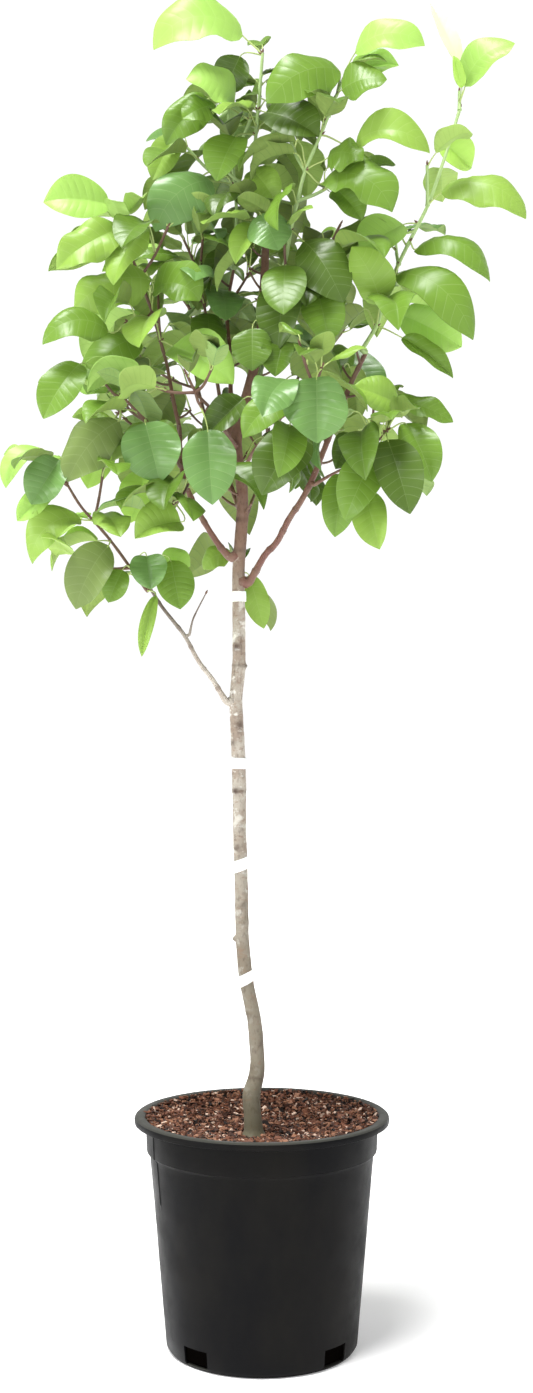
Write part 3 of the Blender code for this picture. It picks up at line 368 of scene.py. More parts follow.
# Gaps of the crown as seen from the front: across and height of each one's middle, and its half sizes, at
# the depth of the pot's middle. The eye is the place from which they are seen.
OPEN_SPACES = (
    (190, 1405, 22, 16), (165, 1370, 38, 22), (108, 1352, 14, 18), (160, 1282, 20, 36),
    (-135, 1360, 26, 34), (-150, 1300, 26, 38), (-82, 1318, 12, 9), (78, 1250, 18, 18),
    (192, 1246, 22, 12), (262, 1340, 36, 38), (190, 1340, 10, 34), (108, 1165, 8, 18),
    (35, 1190, 8, 12), (-25, 1172, 12, 8), (-165, 1130, 14, 10), (-115, 1120, 9, 14),
    (-232, 1165, 18, 24), (145, 1080, 22, 22), (188, 1062, 22, 16), (-190, 1040, 14, 14),
    (215, 970, 16, 26), (-48, 905, 13, 22), (-80, 890, 12, 14), (12, 902, 18, 34),
    (58, 878, 32, 36), (20, 855, 18, 22), (-195, 898, 20, 8), (-238, 845, 26, 22),
    (-180, 800, 32, 14), (-140, 810, 12, 12), (-58, 820, 26, 40), (-12, 792, 16, 34),
)
EYE = (5, -2040, 714)

# Leaves: the length, slimness and stalk of a full-grown one, and what bends it
LEAF_LENGTH = 84
LEAF_SLIMNESS = 0.56
YOUNG_SHARE = 0.55
PETIOLE_LENGTH = 34
PETIOLE_THICKNESS = 1.7
PETIOLE_ANGLE = math.radians(55)
SHORT_STALK = 14
LONG_STALK = 50
LONGEST_STALK = 75
STRAIGHT_ENOUGH = 0.4
SHARPEST_BEND = -0.75
SIDE_CARE = 0.5
BEND_DEPTH = 7
BACKING = 22
FOLD = math.radians(22)
BLADE_THICKNESS = 0.02
BLADE_ROUND = 0.5
BLADE_TAPER = 0.8
KEEL_RISE = 0.3
KEEL_DROP = 0.7
RULE_STATIONS = (0.18, 0.57)
OUTLINE_STATIONS = (0.12, 0.44, 0.77)

# How the rule's leaves vary, and how the youngest ones at a twig's tip differ: angles are in degrees but for
# the play round the twig, which is in radians, and the rest are shares
FIRST_LEAF = 0.75
AZIMUTH_PLAY = 0.5
LEANS = (0.8, 1.2)
YOUNG_UPRIGHT = 0.45
LEAF_SIZES = (0.86, 1.1)
STALK_LENGTHS = (0.75, 1.15)
LEAST_LEVEL = 0.05
DROPS = (20, 66)
YOUNG_RISE = 18
ARCHES = (34, 76)
YOUNG_FLATNESS = 0.4
SKYWARD = 0.8
OUTWARD = 0.6
SKY_PLAY = 0.35
LEAF_WIDTHS = (0.9, 1.12)

# Room that each leaf keeps: to its own mass's space, and to everything near it
SPACE_REACH = 165
SPACE_EXCESS = 25
SPACE_SHARES = (0, 0.4, 1)
SKY_SHARES = (0.15, 0.5, 0.85)
NEAR_ENOUGH = 0.07
LEAF_ROOM = 1.5
ROOT_SHARE = 0.5
TRIES = 14
TWIG_ROOM = 2
FREE_FROM = 0.3

# The camera stands at the eye
EYE_LENS = 47.9
EYE_SENSOR = 36

# More gaps, which only the leaves that no row places keep out of: across, height and half sizes as above
FINE_SPACES = (
    (200, 1392, 12, 13), (213, 1356, 24, 22), (243, 1386, 26, 12), (108, 1362, 30, 12),
    (92, 1243, 46, 22), (213, 1199, 55, 13), (235, 1240, 32, 12), (110, 1160, 14, 24),
    (130, 1089, 20, 36), (-60, 1043, 14, 20), (20, 1020, 16, 11), (88, 979, 16, 24),
    (-100, 971, 9, 16), (-41, 954, 8, 26), (-201, 941, 17, 20), (-135, 888, 44, 8),
    (183, 1283, 14, 20), (92, 1337, 28, 11), (248, 1298, 16, 16), (186, 1325, 12, 12),
    (0, 899, 17, 26), (-57, 897, 12, 18), (57, 921, 16, 12), (-235, 814, 20, 24),
    (-210, 810, 12, 14), (-100, 1293, 16, 14), (-70, 1323, 18, 10), (-51, 1296, 13, 11),
    (13, 1430, 14, 14), (81, 1424, 14, 8), (-190, 1103, 14, 9), (-161, 1131, 12, 10),
    (215, 996, 14, 6), (-84, 1144, 11, 8), (-14, 1170, 12, 12),
)

# Leaves that fill the places between those of the outline: rows as there
FILLING_LEAVES = {
    "leaves_top": (
        ((-28, -58, 1312), (-48, -72, 1262), 44, 45, 60, "green"),
        ((4, -62, 1308), (-6, -78, 1258), 44, 45, 65, "deep"),
        ((-10, -60, 1275), (15, -75, 1238), 36, 40, 60, "mid"),
    ),
    "leaves_top_right": (
        ((78, -78, 1252), (106, -88, 1216), 34, 35, 70, "green"),
    ),
    "leaves_top_left": (((-50, -60, 1346), (-84, -75, 1326), 34, 40, 60, "green"),),
    "leaves_middle_right": (
        ((22, -92, 1086), (14, -104, 1048), 36, 35, 70, "dark"),
    ),
    "leaves_right_low": (((94, -118, 985), (76, -130, 948), 30, 30, 70, "deep"),),
    "leaves_low_left": (((-146, -100, 846), (-160, -108, 812), 26, 30, 70, "green"),),
}

# Stretches of limb that stay in sight from the front: limb, lower and upper height, and the room beside it
SEEN_LIMBS = (
    ("trunk", 1010, 1140, 15),
    ("bough_left", 985, 1075, 13),
    ("bough_right", 900, 960, 12),
)

# The large leaf that hangs foremost: across and height as the gaps' are, the room round it, and its depth
FOREMOST = (60, 1027, 34, -170)

# Shares of a blade's length, and steps along a limb, at which a leaf is found to hide one
HIDING_SHARES = (0.1, 0.3, 0.5, 0.7, 0.9)
SEEN_STEP = 12

# Finer growth: leaf spacing, leaf size, room, tries and seed, then the spurs on the limbs inside the crown,
# with the share of each limb where they begin
FINE_SPACING = 18
FINE_SIZE = 0.88
FINE_ROOM = 0.8
FINE_TRIES = 9
FINE_SEED = 100
SPUR_LIMBS = {
    "trunk": 0.66,
    "bough_left": 0.5,
    "bough_right": 0.55,
    "bough_middle": 0.2,
    "bough_middle_left": 0.2,
    "bough_back_left": 0.4,
    "bough_back_right": 0.4,
    "bough_front": 0.4,
    "bough_front_left": 0.4,
}
SPUR_SPACING = 19
SPUR_LENGTH = 24
SPUR_LENGTHS = (0.5, 1.3)
SPUR_THICKNESS = 2.4
SPUR_SWELL = 1.3
SPUR_STAND = 1.5
SPUR_OUT = 0.85
SPUR_UP = 0.5
SPUR_LEAVES = 3
SPUR_YOUTH = 0.35
SPUR_SEED = 7

# Wood: knots on the trunk as height, bearing from the front, breadth, rise and darkness, and rings as height
# and rise. A knot has a hollow in it where it rises less than a lump.
KNOTS = (
    (768, -20, 4.5, 1.0, 0.9), (747, 78, 3.0, 2.2, 0.6), (683, 28, 5.0, 1.0, 0.8),
    (664, -45, 4.0, 0.8, 0.7), (612, -30, 4.0, 0.7, 0.8), (551, -25, 3.4, 2.4, 0.7),
    (489, 15, 3.6, 0.8, 0.6), (452, -80, 2.4, 4.2, 0.4), (372, -50, 3.6, 1.4, 0.5),
    (340, 40, 4.0, 0.9, 0.5), (310, -75, 5.0, 1.3, 0.3), (905, -60, 4.0, 0.9, 0.8),
    (960, 30, 4.0, 0.9, 0.7), (820, 150, 4.5, 1.0, 0.6), (700, 170, 4.5, 1.2, 0.6),
    (590, 200, 4.0, 1.0, 0.7), (470, 140, 4.5, 1.2, 0.6), (395, 190, 4.0, 1.0, 0.5),
)
RINGS = ((747, 0.5), (612, 0.3), (905, 0.4), (872, 0.35), (963, 0.35), (303, 0.4))
RING_HALF_WIDTH = 1.8
RING_SHADE = 0.5
KNOT_REACH = 3
KNOT_HOLLOW = 0.55
HOLLOW_NARROWING = 2.4
SHADE_NARROWING = 1.1
LUMP_RISE = 2

# Lumps as rise in millimetres and number to the metre, bands as rise and number round and up the trunk, and
# how much stouter the bark is than the solid: all for a trunk or bough of the usual radius
TRUNK_LUMPS = ((0.35, 70), (0.16, 210))
TRUNK_BANDS = (0.2, 4, 25)
STOUTER = 0.35
USUAL_RADIUS = 7
LIMB_LUMPS = ((0.22, 160), (0.12, 420))
USUAL_LIMB_RADIUS = 2.6

# Fine tubes, the nodes along the limbs, which wander a little, and the buds
TRUNK_FINE_SIDES = 32
TRUNK_FINE_STEP = 2.5
LIMB_FINE_SIDES = 16
LIMB_FINE_STEP = 2.5
STEM_FINE_SIDES = 9
STEM_FINE_STEP = 4
NODE_SPACING = 27
NODE_RISE = 0.45
NODE_HALF_WIDTH = 2.0
NODE_WANDER = 9
NODE_WANDER_SCALE = 20
NODE_SHADE = 0.55
BUD_LENGTH = 5.5
BUD_THICKNESS = 2.4
BUD_SIDES = 6
BUD_PROFILE = ((0.0, 0.55), (0.2, 0.95), (0.45, 1.0), (0.72, 0.6), (1.0, 0.08))
BUD_SIZES = (0.7, 1.15)
BUD_STAND = 0.8
BUD_UPRIGHT = 0.9
GREEN_SHOOTS = ("leaves_right_top", "leaves_top_right", "leaves_top", "leaves_top_left")

# How limbs join what carries them: how deep inside the trunk, a bough, a mass's carrier and a stem, how much
# the joint swells, how a stem fits its bough's tip, and how much stouter twigs are than in the solids
TRUNK_JOIN = 4.5
BOUGH_JOIN = 1.6
STEM_JOIN = 3
TWIG_JOIN = 0.1
JOIN_SWELL = 0.4
SPUR_JOIN_SWELL = 0.3
TIP_MATCH = 1.04
SHOOT_STOUTER = 1.25
TWIG_STOUTER = 1.05

# Leaf meshes: the rows at the blade's foot and tip, the side veins along it, shares of its half width, and
# its thickness at the skins, veins and midrib in millimetres
FOOT_ROWS = ((0, 0), (0.025, 0.3), (0.055, 0.5))
TIP_ROWS = ((0.91, 0.6), (0.94, 0.4), (0.965, 0.2), (0.985, 0), (1, 0))
VEINS = 7
FIRST_VEIN = 0.09
VEIN_SPACING = 0.112
VEIN_HALF_WIDTH = 0.004
WIDEST_VEIN = 0.01
VEIN_SLANT = 0.15
VEIN_DEPTH = 0.15
VEIN_RISE = 1.0
USUAL_HALF = 20
HALF_SHARES = (0.0, 0.25, 0.52, 0.79, 1.0)
RIB_HALF_WIDTH = 0.5
RIB_TAPER = 0.7
RIB_DEPTH = 0.65
DEPTH_TAPER = 0.6
UPPER_SKIN = 0.12
UNDER_SKIN = 0.2

# The blade's outline: how blunt it is, the drawn-out point, and its least half widths in millimetres
ROUND_TAPER = 0.62
TIP_PINCH = 0.62
TIP_REACH = 0.075
WIDER = 1.1
LEAST_HALF = 0.5
POINT_HALF = 0.12
LOBE = 0.05
LOBE_REACH = 0.07

# How blades vary: bulge of the halves, curl and waves of the edge, shares of the fold, twist and droop.
# Placed leaves are calmer, and where they arch strongly the half that faces down hangs.
BLADE_SEED = 200
BULGE = 0.7
CURL = (-0.5, 0.45)
CURL_PEAK = 0.7
EDGE_WAVE = (0.05, 0.2)
WAVES = (0.9, 2.1)
FOLD_SHARES = (0.1, 1.7)
TWIST = 0.75
TWIST_FROM = 0.15
DROOP = (-0.3, 1.0)
DROOP_FROM = 0.6
PLACED_CALM = 0.6
ARCHED = math.radians(58)
HANG = (0.9, 1.3)

# Stalks: how they leave the twig and reach the blade, and how their thickness goes with the leaf and along
# their length
STALK_SIDES = 6
STALK_STEPS = 7
STALK_LIFT = 0.25
STALK_LEAVE = 0.35
STALK_ARRIVE = 0.4
STALK_GROWTH = 0.25
STALK_FOOT = 1.25
STALK_TAPER = 0.5

# Looks: leaf tones as upper side, underside, and roughness
TONES = {
    "deep": ((0.065, 0.118, 0.015), (0.17, 0.23, 0.065), 0.33),
    "dark": ((0.095, 0.178, 0.02), (0.2, 0.28, 0.075), 0.34),
    "blue": ((0.125, 0.243, 0.064), (0.25, 0.36, 0.12), 0.3),
    "olive": ((0.15, 0.215, 0.056), (0.28, 0.34, 0.12), 0.42),
    "green": ((0.13, 0.24, 0.027), (0.24, 0.34, 0.085), 0.35),
    "mid": ((0.225, 0.37, 0.056), (0.32, 0.46, 0.12), 0.38),
    "fresh": ((0.3, 0.51, 0.095), (0.39, 0.58, 0.16), 0.42),
    "lime": ((0.37, 0.61, 0.1), (0.48, 0.7, 0.2), 0.45),
    "pale": ((0.68, 0.87, 0.46), (0.72, 0.88, 0.5), 0.5),
}
# The tones as a ladder from painted shade to painted light, along which place deals them
TONE_ORDER = ("deep", "dark", "green", "mid", "fresh", "lime")
BLUE_SHARE = 0.22

# Tones dealt by place as painted light and shade, counted along their order: the distances, in metres, over
# which leaves brighten outwards and upwards, how many tones of painted light they gain, how far chance moves
# them, and how much deeper the painted shade at the back is
BRIGHT_OUT = 0.25
BRIGHT_FROM = 0.85
BRIGHT_RISE = 0.6
FIRST_TONE = 0.35
OUT_LIGHT_TONES = 2.75
OUT_POWER = 1.2
HIGH_LIGHT_TONES = 1.3
TONE_PLAY = 0.9
BACK_SHADE_TONES = 0.8

# Other colours, the midrib's share of its own, and the chips' shares of theirs
RIB_COLOUR = (0.5, 0.62, 0.25)
RIB_SHARE = 0.07
STALK_COLOUR = (0.4, 0.5, 0.16)
SHOOT_COLOUR = (0.36, 0.5, 0.2)
TWIG_COLOUR = (0.14, 0.075, 0.05)
BUD_COLOUR = (0.13, 0.06, 0.035)
GREY_BARK = (0.43, 0.39, 0.33)
BROWN_BARK = (0.2, 0.125, 0.085)
RED_BARK = (0.16, 0.07, 0.052)
PALE_BARK = (0.7, 0.68, 0.62)
LOW_BARK = (0.14, 0.12, 0.083)
GREEN_BARK = (0.075, 0.07, 0.035)
DARK_BARK = (0.055, 0.03, 0.02)
CHIP_COLOURS = ((0.135, 0.052, 0.029), (0.05, 0.021, 0.013), (0.25, 0.12, 0.07), (0.009, 0.005, 0.004),
                (0.56, 0.41, 0.32))
CHIP_SHARES = (0.32, 0.27, 0.2, 0.15, 0.06)
# Near-black painted shade for the potting mix's side and underside, which show through the drain notches
SOIL_SIDE_PAINTED_SHADE = (0.0015, 0.0012, 0.001)
BLACK_PLASTIC = (0.004, 0.004, 0.0045)
PLASTIC_DUST = (0.0085, 0.0078, 0.0066)
PLASTIC_WEAR = (0.04, 0.038, 0.034)
# Painted highlight laid on the pot's faces that look up
PLASTIC_TOP_HIGHLIGHT = (0.05, 0.05, 0.043)
TAPE_WHITE = (0.9, 0.9, 0.88)
TAPE_GREY = (0.78, 0.78, 0.74)

# The bumps of the materials: how the bark's are stretched, and the range of the patches that they rise over
BARK_STRETCH = (1, 1, 0.4)
BUMP_RANGE = (0.3, 0.7)

# The colour sockets of a mix node, by their place among its inputs and outputs
MIX_UNDER = 6
MIX_OVER = 7
MIX_RESULT = 2

# Light: the strength of the white surroundings low down and overhead, the upward shares of the view between
# which it falls, the floor's colour, glow and half size, the place that the lamps aim at, and each lamp's
# name, kind, place, size and power. Lengths here are in metres, and a sun's size is its angle in radians.
WORLD_STRENGTHS = (1.05, 0.35)
HORIZON = (0.38, 0.66)
FLOOR_WHITE = (0.92, 0.92, 0.92)
FLOOR_GLOW = 0.22
FLOOR_HALF = 12
LAMPS_AIM = (0, 0, 0.9)
LAMPS = (
    ("high_sun", "SUN", (-0.6, -0.68, 3.4), 0.45, 5.1),
    ("side_window", "AREA", (-2.4, -1.6, 1.5), 1.2, 28),
)


def metres(point):
    """A place of the tables in metres."""
    return Vector(point) * MM


def smooth_line(points, step):
    """Points about a step apart on the smooth curve through the given ones."""
    ends = [2 * points[0] - points[1], *points, 2 * points[-1] - points[-2]]
    line = [points[0].copy()]
    for before, start, end, after in zip(ends, ends[1:], ends[2:], ends[3:]):
        count = max(1, round((end - start).length / (step * MM)))
        for k in range(1, count + 1):
            t = k / count
            line.append(
                (2 * start + (end - before) * t
                 + (2 * before - 5 * start + 4 * end - after) * t**2
                 + (3 * start - before - 3 * end + after) * t**3) / 2
            )
    return line


def distances(line):
    """How far along the line each of its points is."""
    travelled = [0.0]
    for start, end in zip(line, line[1:]):
        travelled.append(travelled[-1] + (end - start).length)
    return travelled


def tangent(line, k):
    """The heading of the line at one of its points."""
    return (line[min(k + 1, len(line) - 1)] - line[max(k - 1, 0)]).normalized()


def tapering(line, foot, tip, swell):
    """Radii along a limb from its foot's to its tip's thickness, with a swollen collar at the foot."""
    travelled = distances(line)
    radii = []
    for distance in travelled:
        share = distance / travelled[-1]
        collar = swell * max(0, 1 - distance / (COLLAR_REACH * MM))
        radii.append((foot + (tip - foot) * share + foot * collar) * MM / 2)
    return radii


def nearest_place(line, point):
    """The segment of the line nearest the point, and the share of that segment where it is nearest."""
    places = []
    for k, (start, end) in enumerate(zip(line, line[1:])):
        run = end - start
        share = min(1, max(0, (point - start).dot(run) / run.length_squared))
        places.append(((start + run * share - point).length, k, share))
    return min(places)[1:]


def carried_line(points, carrier, foot, step):
    """The smooth line through the points, begun a gap clear of its carrier's side or of its cut tip."""
    line, radii = carrier
    points = [metres(point) for point in points]
    k, share = nearest_place(line, points[0])
    along = (line[k + 1] - line[k]).normalized()
    if k == len(line) - 2 and share == 1:
        out = tangent(line, k + 1)
        start = line[k + 1] + out * GAP * MM
    else:
        place = line[k].lerp(line[k + 1], share)
        out = points[1] - place
        out = (out - along * out.dot(along)).normalized()
        start = place + out * (radii[k] + (radii[k + 1] - radii[k]) * share + GAP * MM)
    return smooth_line([start, start + out * (foot / 2 + KNEE) * MM, *points[1:]], step)


def ring_spokes(line, sides, level_foot=False):
    """The spokes of a tube along the line, one ring of them for each of its points."""
    heading = UP if level_foot else tangent(line, 0)
    across = heading.orthogonal().normalized()
    rings = []
    for k in range(len(line)):
        if k:
            turned = tangent(line, k)
            across = heading.rotation_difference(turned) @ across
            heading = turned
        rings.append([Quaternion(heading, math.tau * side / sides) @ across for side in range(sides)])
    return rings


def ring_faces(rings, is_open=None):
    """Faces between rings of point numbers, each ring closed on itself, but where the solid is open."""
    faces = []
    for row, (low, high) in enumerate(zip(rings, rings[1:])):
        for side in range(len(low)):
            if is_open and is_open(row, side):
                continue
            after = (side + 1) % len(low)
            corners = (low[side], low[after], high[after], high[side])
            faces.append(tuple(dict.fromkeys(corners)))
    return faces


def tube_faces(count, sides):
    """Faces of a closed tube of so many rings, with flat ends."""
    rings = [range(first, first + sides) for first in range(0, count * sides, sides)]
    return [tuple(reversed(rings[0])), tuple(rings[-1]), *ring_faces(rings)]


def tube(line, radii, sides):
    """Vertices and faces of a closed tube along the line."""
    rings = zip(line, radii, ring_spokes(line, sides))
    vertices = [middle + spoke * radius for middle, radius, spokes in rings for spoke in spokes]
    return vertices, tube_faces(len(line), sides)


def turned_solid(profile, sides):
    """Vertices and faces of the profile, (radius, height) in millimetres, turned round the upright axis."""
    vertices = []
    rings = []
    for radius, height in profile:
        first = len(vertices)
        count = sides if radius else 1
        for side in range(count):
            angle = math.tau * side / sides
            vertices.append(metres((radius * math.cos(angle), radius * math.sin(angle), height)))
        rings.append([first + side % count for side in range(sides)])
    return vertices, ring_faces(rings)


class Leaf:
    """One leaf: a stalk from its root to the blade's foot, bent there where need be, and an arched blade."""

    def __init__(self, root, foot, tip, width, arch, sky, stations):
        chord = tip - foot
        self.stations = stations
        self.tone = None
        self.root = root
        self.foot = foot
        self.along = chord.normalized()
        self.up = (sky - self.along * sky.dot(self.along)).normalized()
        self.side = self.up.cross(self.along)
        self.arch = arch
        self.length = chord.length * arch / (2 * math.sin(arch / 2))
        self.width = width
        self.start = self.along * math.cos(arch / 2) + self.up * math.sin(arch / 2)
        stalk = (foot - root).normalized()
        self.bend = []
        if stalk.dot(self.start) < STRAIGHT_ENOUGH or abs(stalk.dot(self.side)) > 1 - STRAIGHT_ENOUGH:
            self.bend = [foot - self.start * BEND_DEPTH * MM]

    def is_sound(self):
        """Whether the stalk comes from behind the blade and not through it."""
        stalk = ((self.bend or [self.foot])[0] - self.root).normalized()
        return stalk.dot(self.start) > SHARPEST_BEND + SIDE_CARE * abs(stalk.dot(self.side))

    def section(self, share):
        """The midrib's place, the upward direction and the half width at a share of the blade's length."""
        turn = self.arch * (0.5 - share)
        bend = self.length / self.arch
        forward = bend * (math.sin(self.arch / 2) - math.sin(turn))
        rise = bend * (math.cos(turn) - math.cos(self.arch / 2))
        middle = self.foot + self.along * forward + self.up * rise
        up = self.up * math.cos(turn) - self.along * math.sin(turn)
        peak = BLADE_ROUND / (BLADE_ROUND + BLADE_TAPER)
        widest = peak**BLADE_ROUND * (1 - peak) ** BLADE_TAPER
        outline = share**BLADE_ROUND * (1 - share) ** BLADE_TAPER / widest
        return middle, up, self.width / 2 * outline

    def shape(self, room=0.0, root_share=0.0):
        """Vertices and faces of the closed leaf, grown by some room and begun partly up the stalk."""
        thick = PETIOLE_THICKNESS / 2 * MM + room
        way = [self.root, *self.bend, self.foot]
        way[0] = way[0].lerp(way[1], root_share)
        headings = [(end - start).normalized() for start, end in zip(way, way[1:])] + [self.start]
        vertices = []
        side = self.side
        ahead = self.start
        for k in reversed(range(len(way))):
            heading = (headings[max(k - 1, 0)] + headings[k]).normalized()
            side = ahead.rotation_difference(heading) @ side
            ahead = heading
            spokes = (side, heading.cross(side), -side, -heading.cross(side))
            vertices = [way[k] + spoke * thick for spoke in spokes] + vertices
        keel = self.length * BLADE_THICKNESS + 2 * room
        for share in self.stations:
            middle, up, half = self.section(share)
            wing = up * math.sin(FOLD) * (half + room)
            spread = self.side * math.cos(FOLD) * (half + room)
            vertices += [middle + wing + spread, middle + up * KEEL_RISE * keel]
            vertices += [middle + wing - spread, middle - up * KEEL_DROP * keel]
        vertices.append(self.section(1)[0] + self.along * room)
        rings = len(way) + len(self.stations)
        faces = [(3, 2, 1, 0)]
        for ring in range(rings - 1):
            for edge, ridge in ((0, 1), (2, 1), (2, 3), (0, 3)):
                edge_here = ring * 4 + edge
                ridge_here = ring * 4 + ridge
                faces.append((edge_here, ridge_here, ridge_here + 4))
                faces.append((edge_here, ridge_here + 4, edge_here + 4))
        last = (rings - 1) * 4
        for corner in range(4):
            faces.append((last + corner, last + (corner + 1) % 4, last + 4))
        return vertices, faces


def grow_limbs():
    """The line and radii of the trunk and of every limb, by name."""
    points = [metres(row[:3]) for row in TRUNK]
    line = smooth_line(points, TRUNK_STEP)
    heights = [row[2] * MM for row in TRUNK]
    radii = []
    for point in line:
        k = max(i for i in range(len(TRUNK) - 1) if i == 0 or heights[i] <= point.z + 1e-9)
        share = (point.z - heights[k]) / (heights[k + 1] - heights[k])
        radii.append((TRUNK[k][3] + (TRUNK[k + 1][3] - TRUNK[k][3]) * share) * MM / 2)
    limbs = {"trunk": (line, radii)}
    for name, (carrier, foot, tip, way) in LIMBS.items():
        line = carried_line(way, limbs[carrier], foot, LIMB_STEP)
        limbs[name] = (line, tapering(line, foot, tip, COLLAR_SWELL))
    return limbs


def grow_stem(limbs, carrier, way):
    """A mass's stem, as thick at its foot as the tip that carries it, or a little more than a twig."""
    foot = min(2 * limbs[carrier][1][-1] / MM, TWIG_FOOT + STEM_EXTRA)
    line = carried_line(way, limbs[carrier], foot, STEM_STEP)
    return line, tapering(line, foot, STEM_TIP, 0)


def grow_twigs(stem, count, length, rng):
    """Side twigs that leave the stem in a spiral, shorter towards its tip and lifting at their ends."""
    line = stem[0]
    travelled = distances(line)
    turn = rng.uniform(0, math.tau)
    twigs = []
    for k in range(count):
        share = TWIGS_FROM + TWIGS_SPAN * (k + 0.5) / count
        i = min(range(len(line)), key=lambda j: abs(travelled[j] - share * travelled[-1]))
        heading = tangent(line, i)
        out = Quaternion(heading, turn + k * SPIRAL) @ heading.orthogonal().normalized()
        reach = length * MM * (TWIG_LONGEST - TWIG_SHORTENING * share) * rng.uniform(*TWIG_LENGTHS)
        way = out * math.sin(PETIOLE_ANGLE) + heading * math.cos(PETIOLE_ANGLE)
        bend = line[i] + way * reach * 0.5
        end = line[i] + way * reach + UP * reach * TWIG_LIFT
        twig = smooth_line([line[i], bend, end], TWIG_STEP)
        twigs.append((twig, tapering(twig, TWIG_FOOT, TWIG_TIP, 0)))
    return twigs


def sunk_tip(line):
    """A place a little inside the twig's tip, for the roots of its last leaves."""
    return line[-1] - tangent(line, len(line) - 1) * TIP_DEPTH * MM


def find_roots(wood, foot, tip):
    """Places on the wood that a leaf could grow from, best first: near, behind the leaf, a stalk away."""
    along = (tip - foot).normalized()

    def strain(spot):
        stalk = foot - spot
        return stalk.length - stalk.normalized().dot(along) * BACKING * MM

    spots = [point for line, _ in wood for point in (*line[1:-1], sunk_tip(line))]
    spots = [spot for spot in spots if (foot - spot).length > SHORT_STALK * MM]
    return sorted(spots, key=strain)


def reaching_twigs(stem, rows):
    """A side twig towards each leaf of the outline that stands too far out for a stalk."""
    wood = [stem]
    for foot, tip, *_ in rows:
        foot = metres(foot)
        root = find_roots(wood, foot, metres(tip))[0]
        reach = foot - root
        if reach.length > LONG_STALK * MM:
            end = root + reach * (1 - PETIOLE_LENGTH * MM / reach.length)
            twig = smooth_line([root, root.lerp(end, 0.5) - UP * reach.length * TWIG_SAG, end], TWIG_STEP)
            wood.append((twig, tapering(twig, TWIG_FOOT, TWIG_TIP, 0)))
    return wood[1:]


def placed_leaves(wood, foot, tip, width, arch, facing, tone):
    """A leaf of the outline, as it would be from each of its best roots."""
    foot = metres(foot)
    tip = metres(tip)
    turn = math.radians(facing)
    sky = Vector((0, -math.sin(turn), math.cos(turn)))
    roots = [root for root in find_roots(wood, foot, tip) if (foot - root).length < LONGEST_STALK * MM]
    leaves = [Leaf(root, foot, tip, width * MM, math.radians(arch), sky, OUTLINE_STATIONS) for root in roots]
    for leaf in leaves:
        leaf.tone = tone
    return leaves


def point_along(line, travelled, place):
    """The point at a distance along the line, and the number of the segment that it lies on."""
    i = max(j for j in range(len(line) - 1) if travelled[j] <= place)
    share = (place - travelled[i]) / (travelled[i + 1] - travelled[i])
    return line[i].lerp(line[i + 1], share), i


def leaf_places(wood, spacing):
    """Where the leaves of a mass leave its wood: the place, the heading there, and how young the leaf is."""
    places = []
    for line, _ in wood:
        travelled = distances(line)
        place = FIRST_LEAF * spacing * MM
        while place < travelled[-1]:
            point, i = point_along(line, travelled, place)
            places.append((point, tangent(line, i), place / travelled[-1]))
            place += spacing * MM
        places.append((sunk_tip(line), tangent(line, len(line) - 1), 1.0))
    return places


def rule_leaf(place, heading, youth, azimuth, rng, scale=1.0):
    """A leaf that leaves the twig at an angle, holds its stalk out and lets its blade arch over."""
    azimuth += rng.uniform(-AZIMUTH_PLAY, AZIMUTH_PLAY)
    out = Quaternion(heading, azimuth) @ heading.orthogonal().normalized()
    lean = PETIOLE_ANGLE * rng.uniform(*LEANS) * (1 - YOUNG_UPRIGHT * youth**4)
    way = out * math.sin(lean) + heading * math.cos(lean)
    size = (1 - (1 - YOUNG_SHARE) * youth**3) * rng.uniform(*LEAF_SIZES) * scale
    foot = place + way * PETIOLE_LENGTH * size * rng.uniform(*STALK_LENGTHS) * MM
    level = Vector((way.x, way.y, 0))
    level = level.normalized() if level.length > LEAST_LEVEL else Vector((out.x, out.y, 0.01)).normalized()
    drop = math.radians(rng.uniform(*DROPS) * (1 - youth**3) - YOUNG_RISE * youth**3)
    arch = math.radians(rng.uniform(*ARCHES) * (1 - YOUNG_FLATNESS * youth**3))
    length = LEAF_LENGTH * size * MM
    chord = length * 2 * math.sin(arch / 2) / arch
    tip = foot + (level * math.cos(drop) - UP * math.sin(drop)) * chord
    play = Vector([rng.uniform(-SKY_PLAY, SKY_PLAY) for _ in range(3)])
    sky = UP * SKYWARD + level * OUTWARD + play
    width = length * LEAF_SLIMNESS * rng.uniform(*LEAF_WIDTHS)
    return Leaf(place, foot, tip, width, arch, sky, RULE_STATIONS)


def tie_place(name, trunk):
    """Where a tie sits on the trunk: its middle, inner radius and lean, and how steeply it rises."""
    height, _, slant = TIES[name]
    line, radii = trunk
    k = max(i for i in range(len(line) - 1) if line[i].z <= height * MM)
    share = (height * MM - line[k].z) / (line[k + 1].z - line[k].z)
    inner = (max(radii[k - 1 : k + 3]) / MM + 2 * GAP) / math.cos(math.pi / TIE_SIDES)
    lean = UP.rotation_difference((line[k + 1] - line[k]).normalized())
    return line[k].lerp(line[k + 1], share), inner, lean, math.tan(math.radians(slant))


def tie_shape(name, trunk):
    """Vertices and faces of a flat band wound snugly round the trunk, at its slant."""
    middle, inner, lean, rise = tie_place(name, trunk)
    outer = inner + TIE_THICKNESS
    half = TIES[name][1] / 2
    profile = ((inner, -half), (outer, -half), (outer, half), (inner, half), (inner, -half))
    vertices, faces = turned_solid(profile, TIE_SIDES)
    used = len(vertices) - TIE_SIDES
    faces = [tuple(corner % used for corner in face) for face in faces]
    return [middle + lean @ (vertex + UP * vertex.x * rise) for vertex in vertices[:used]], faces


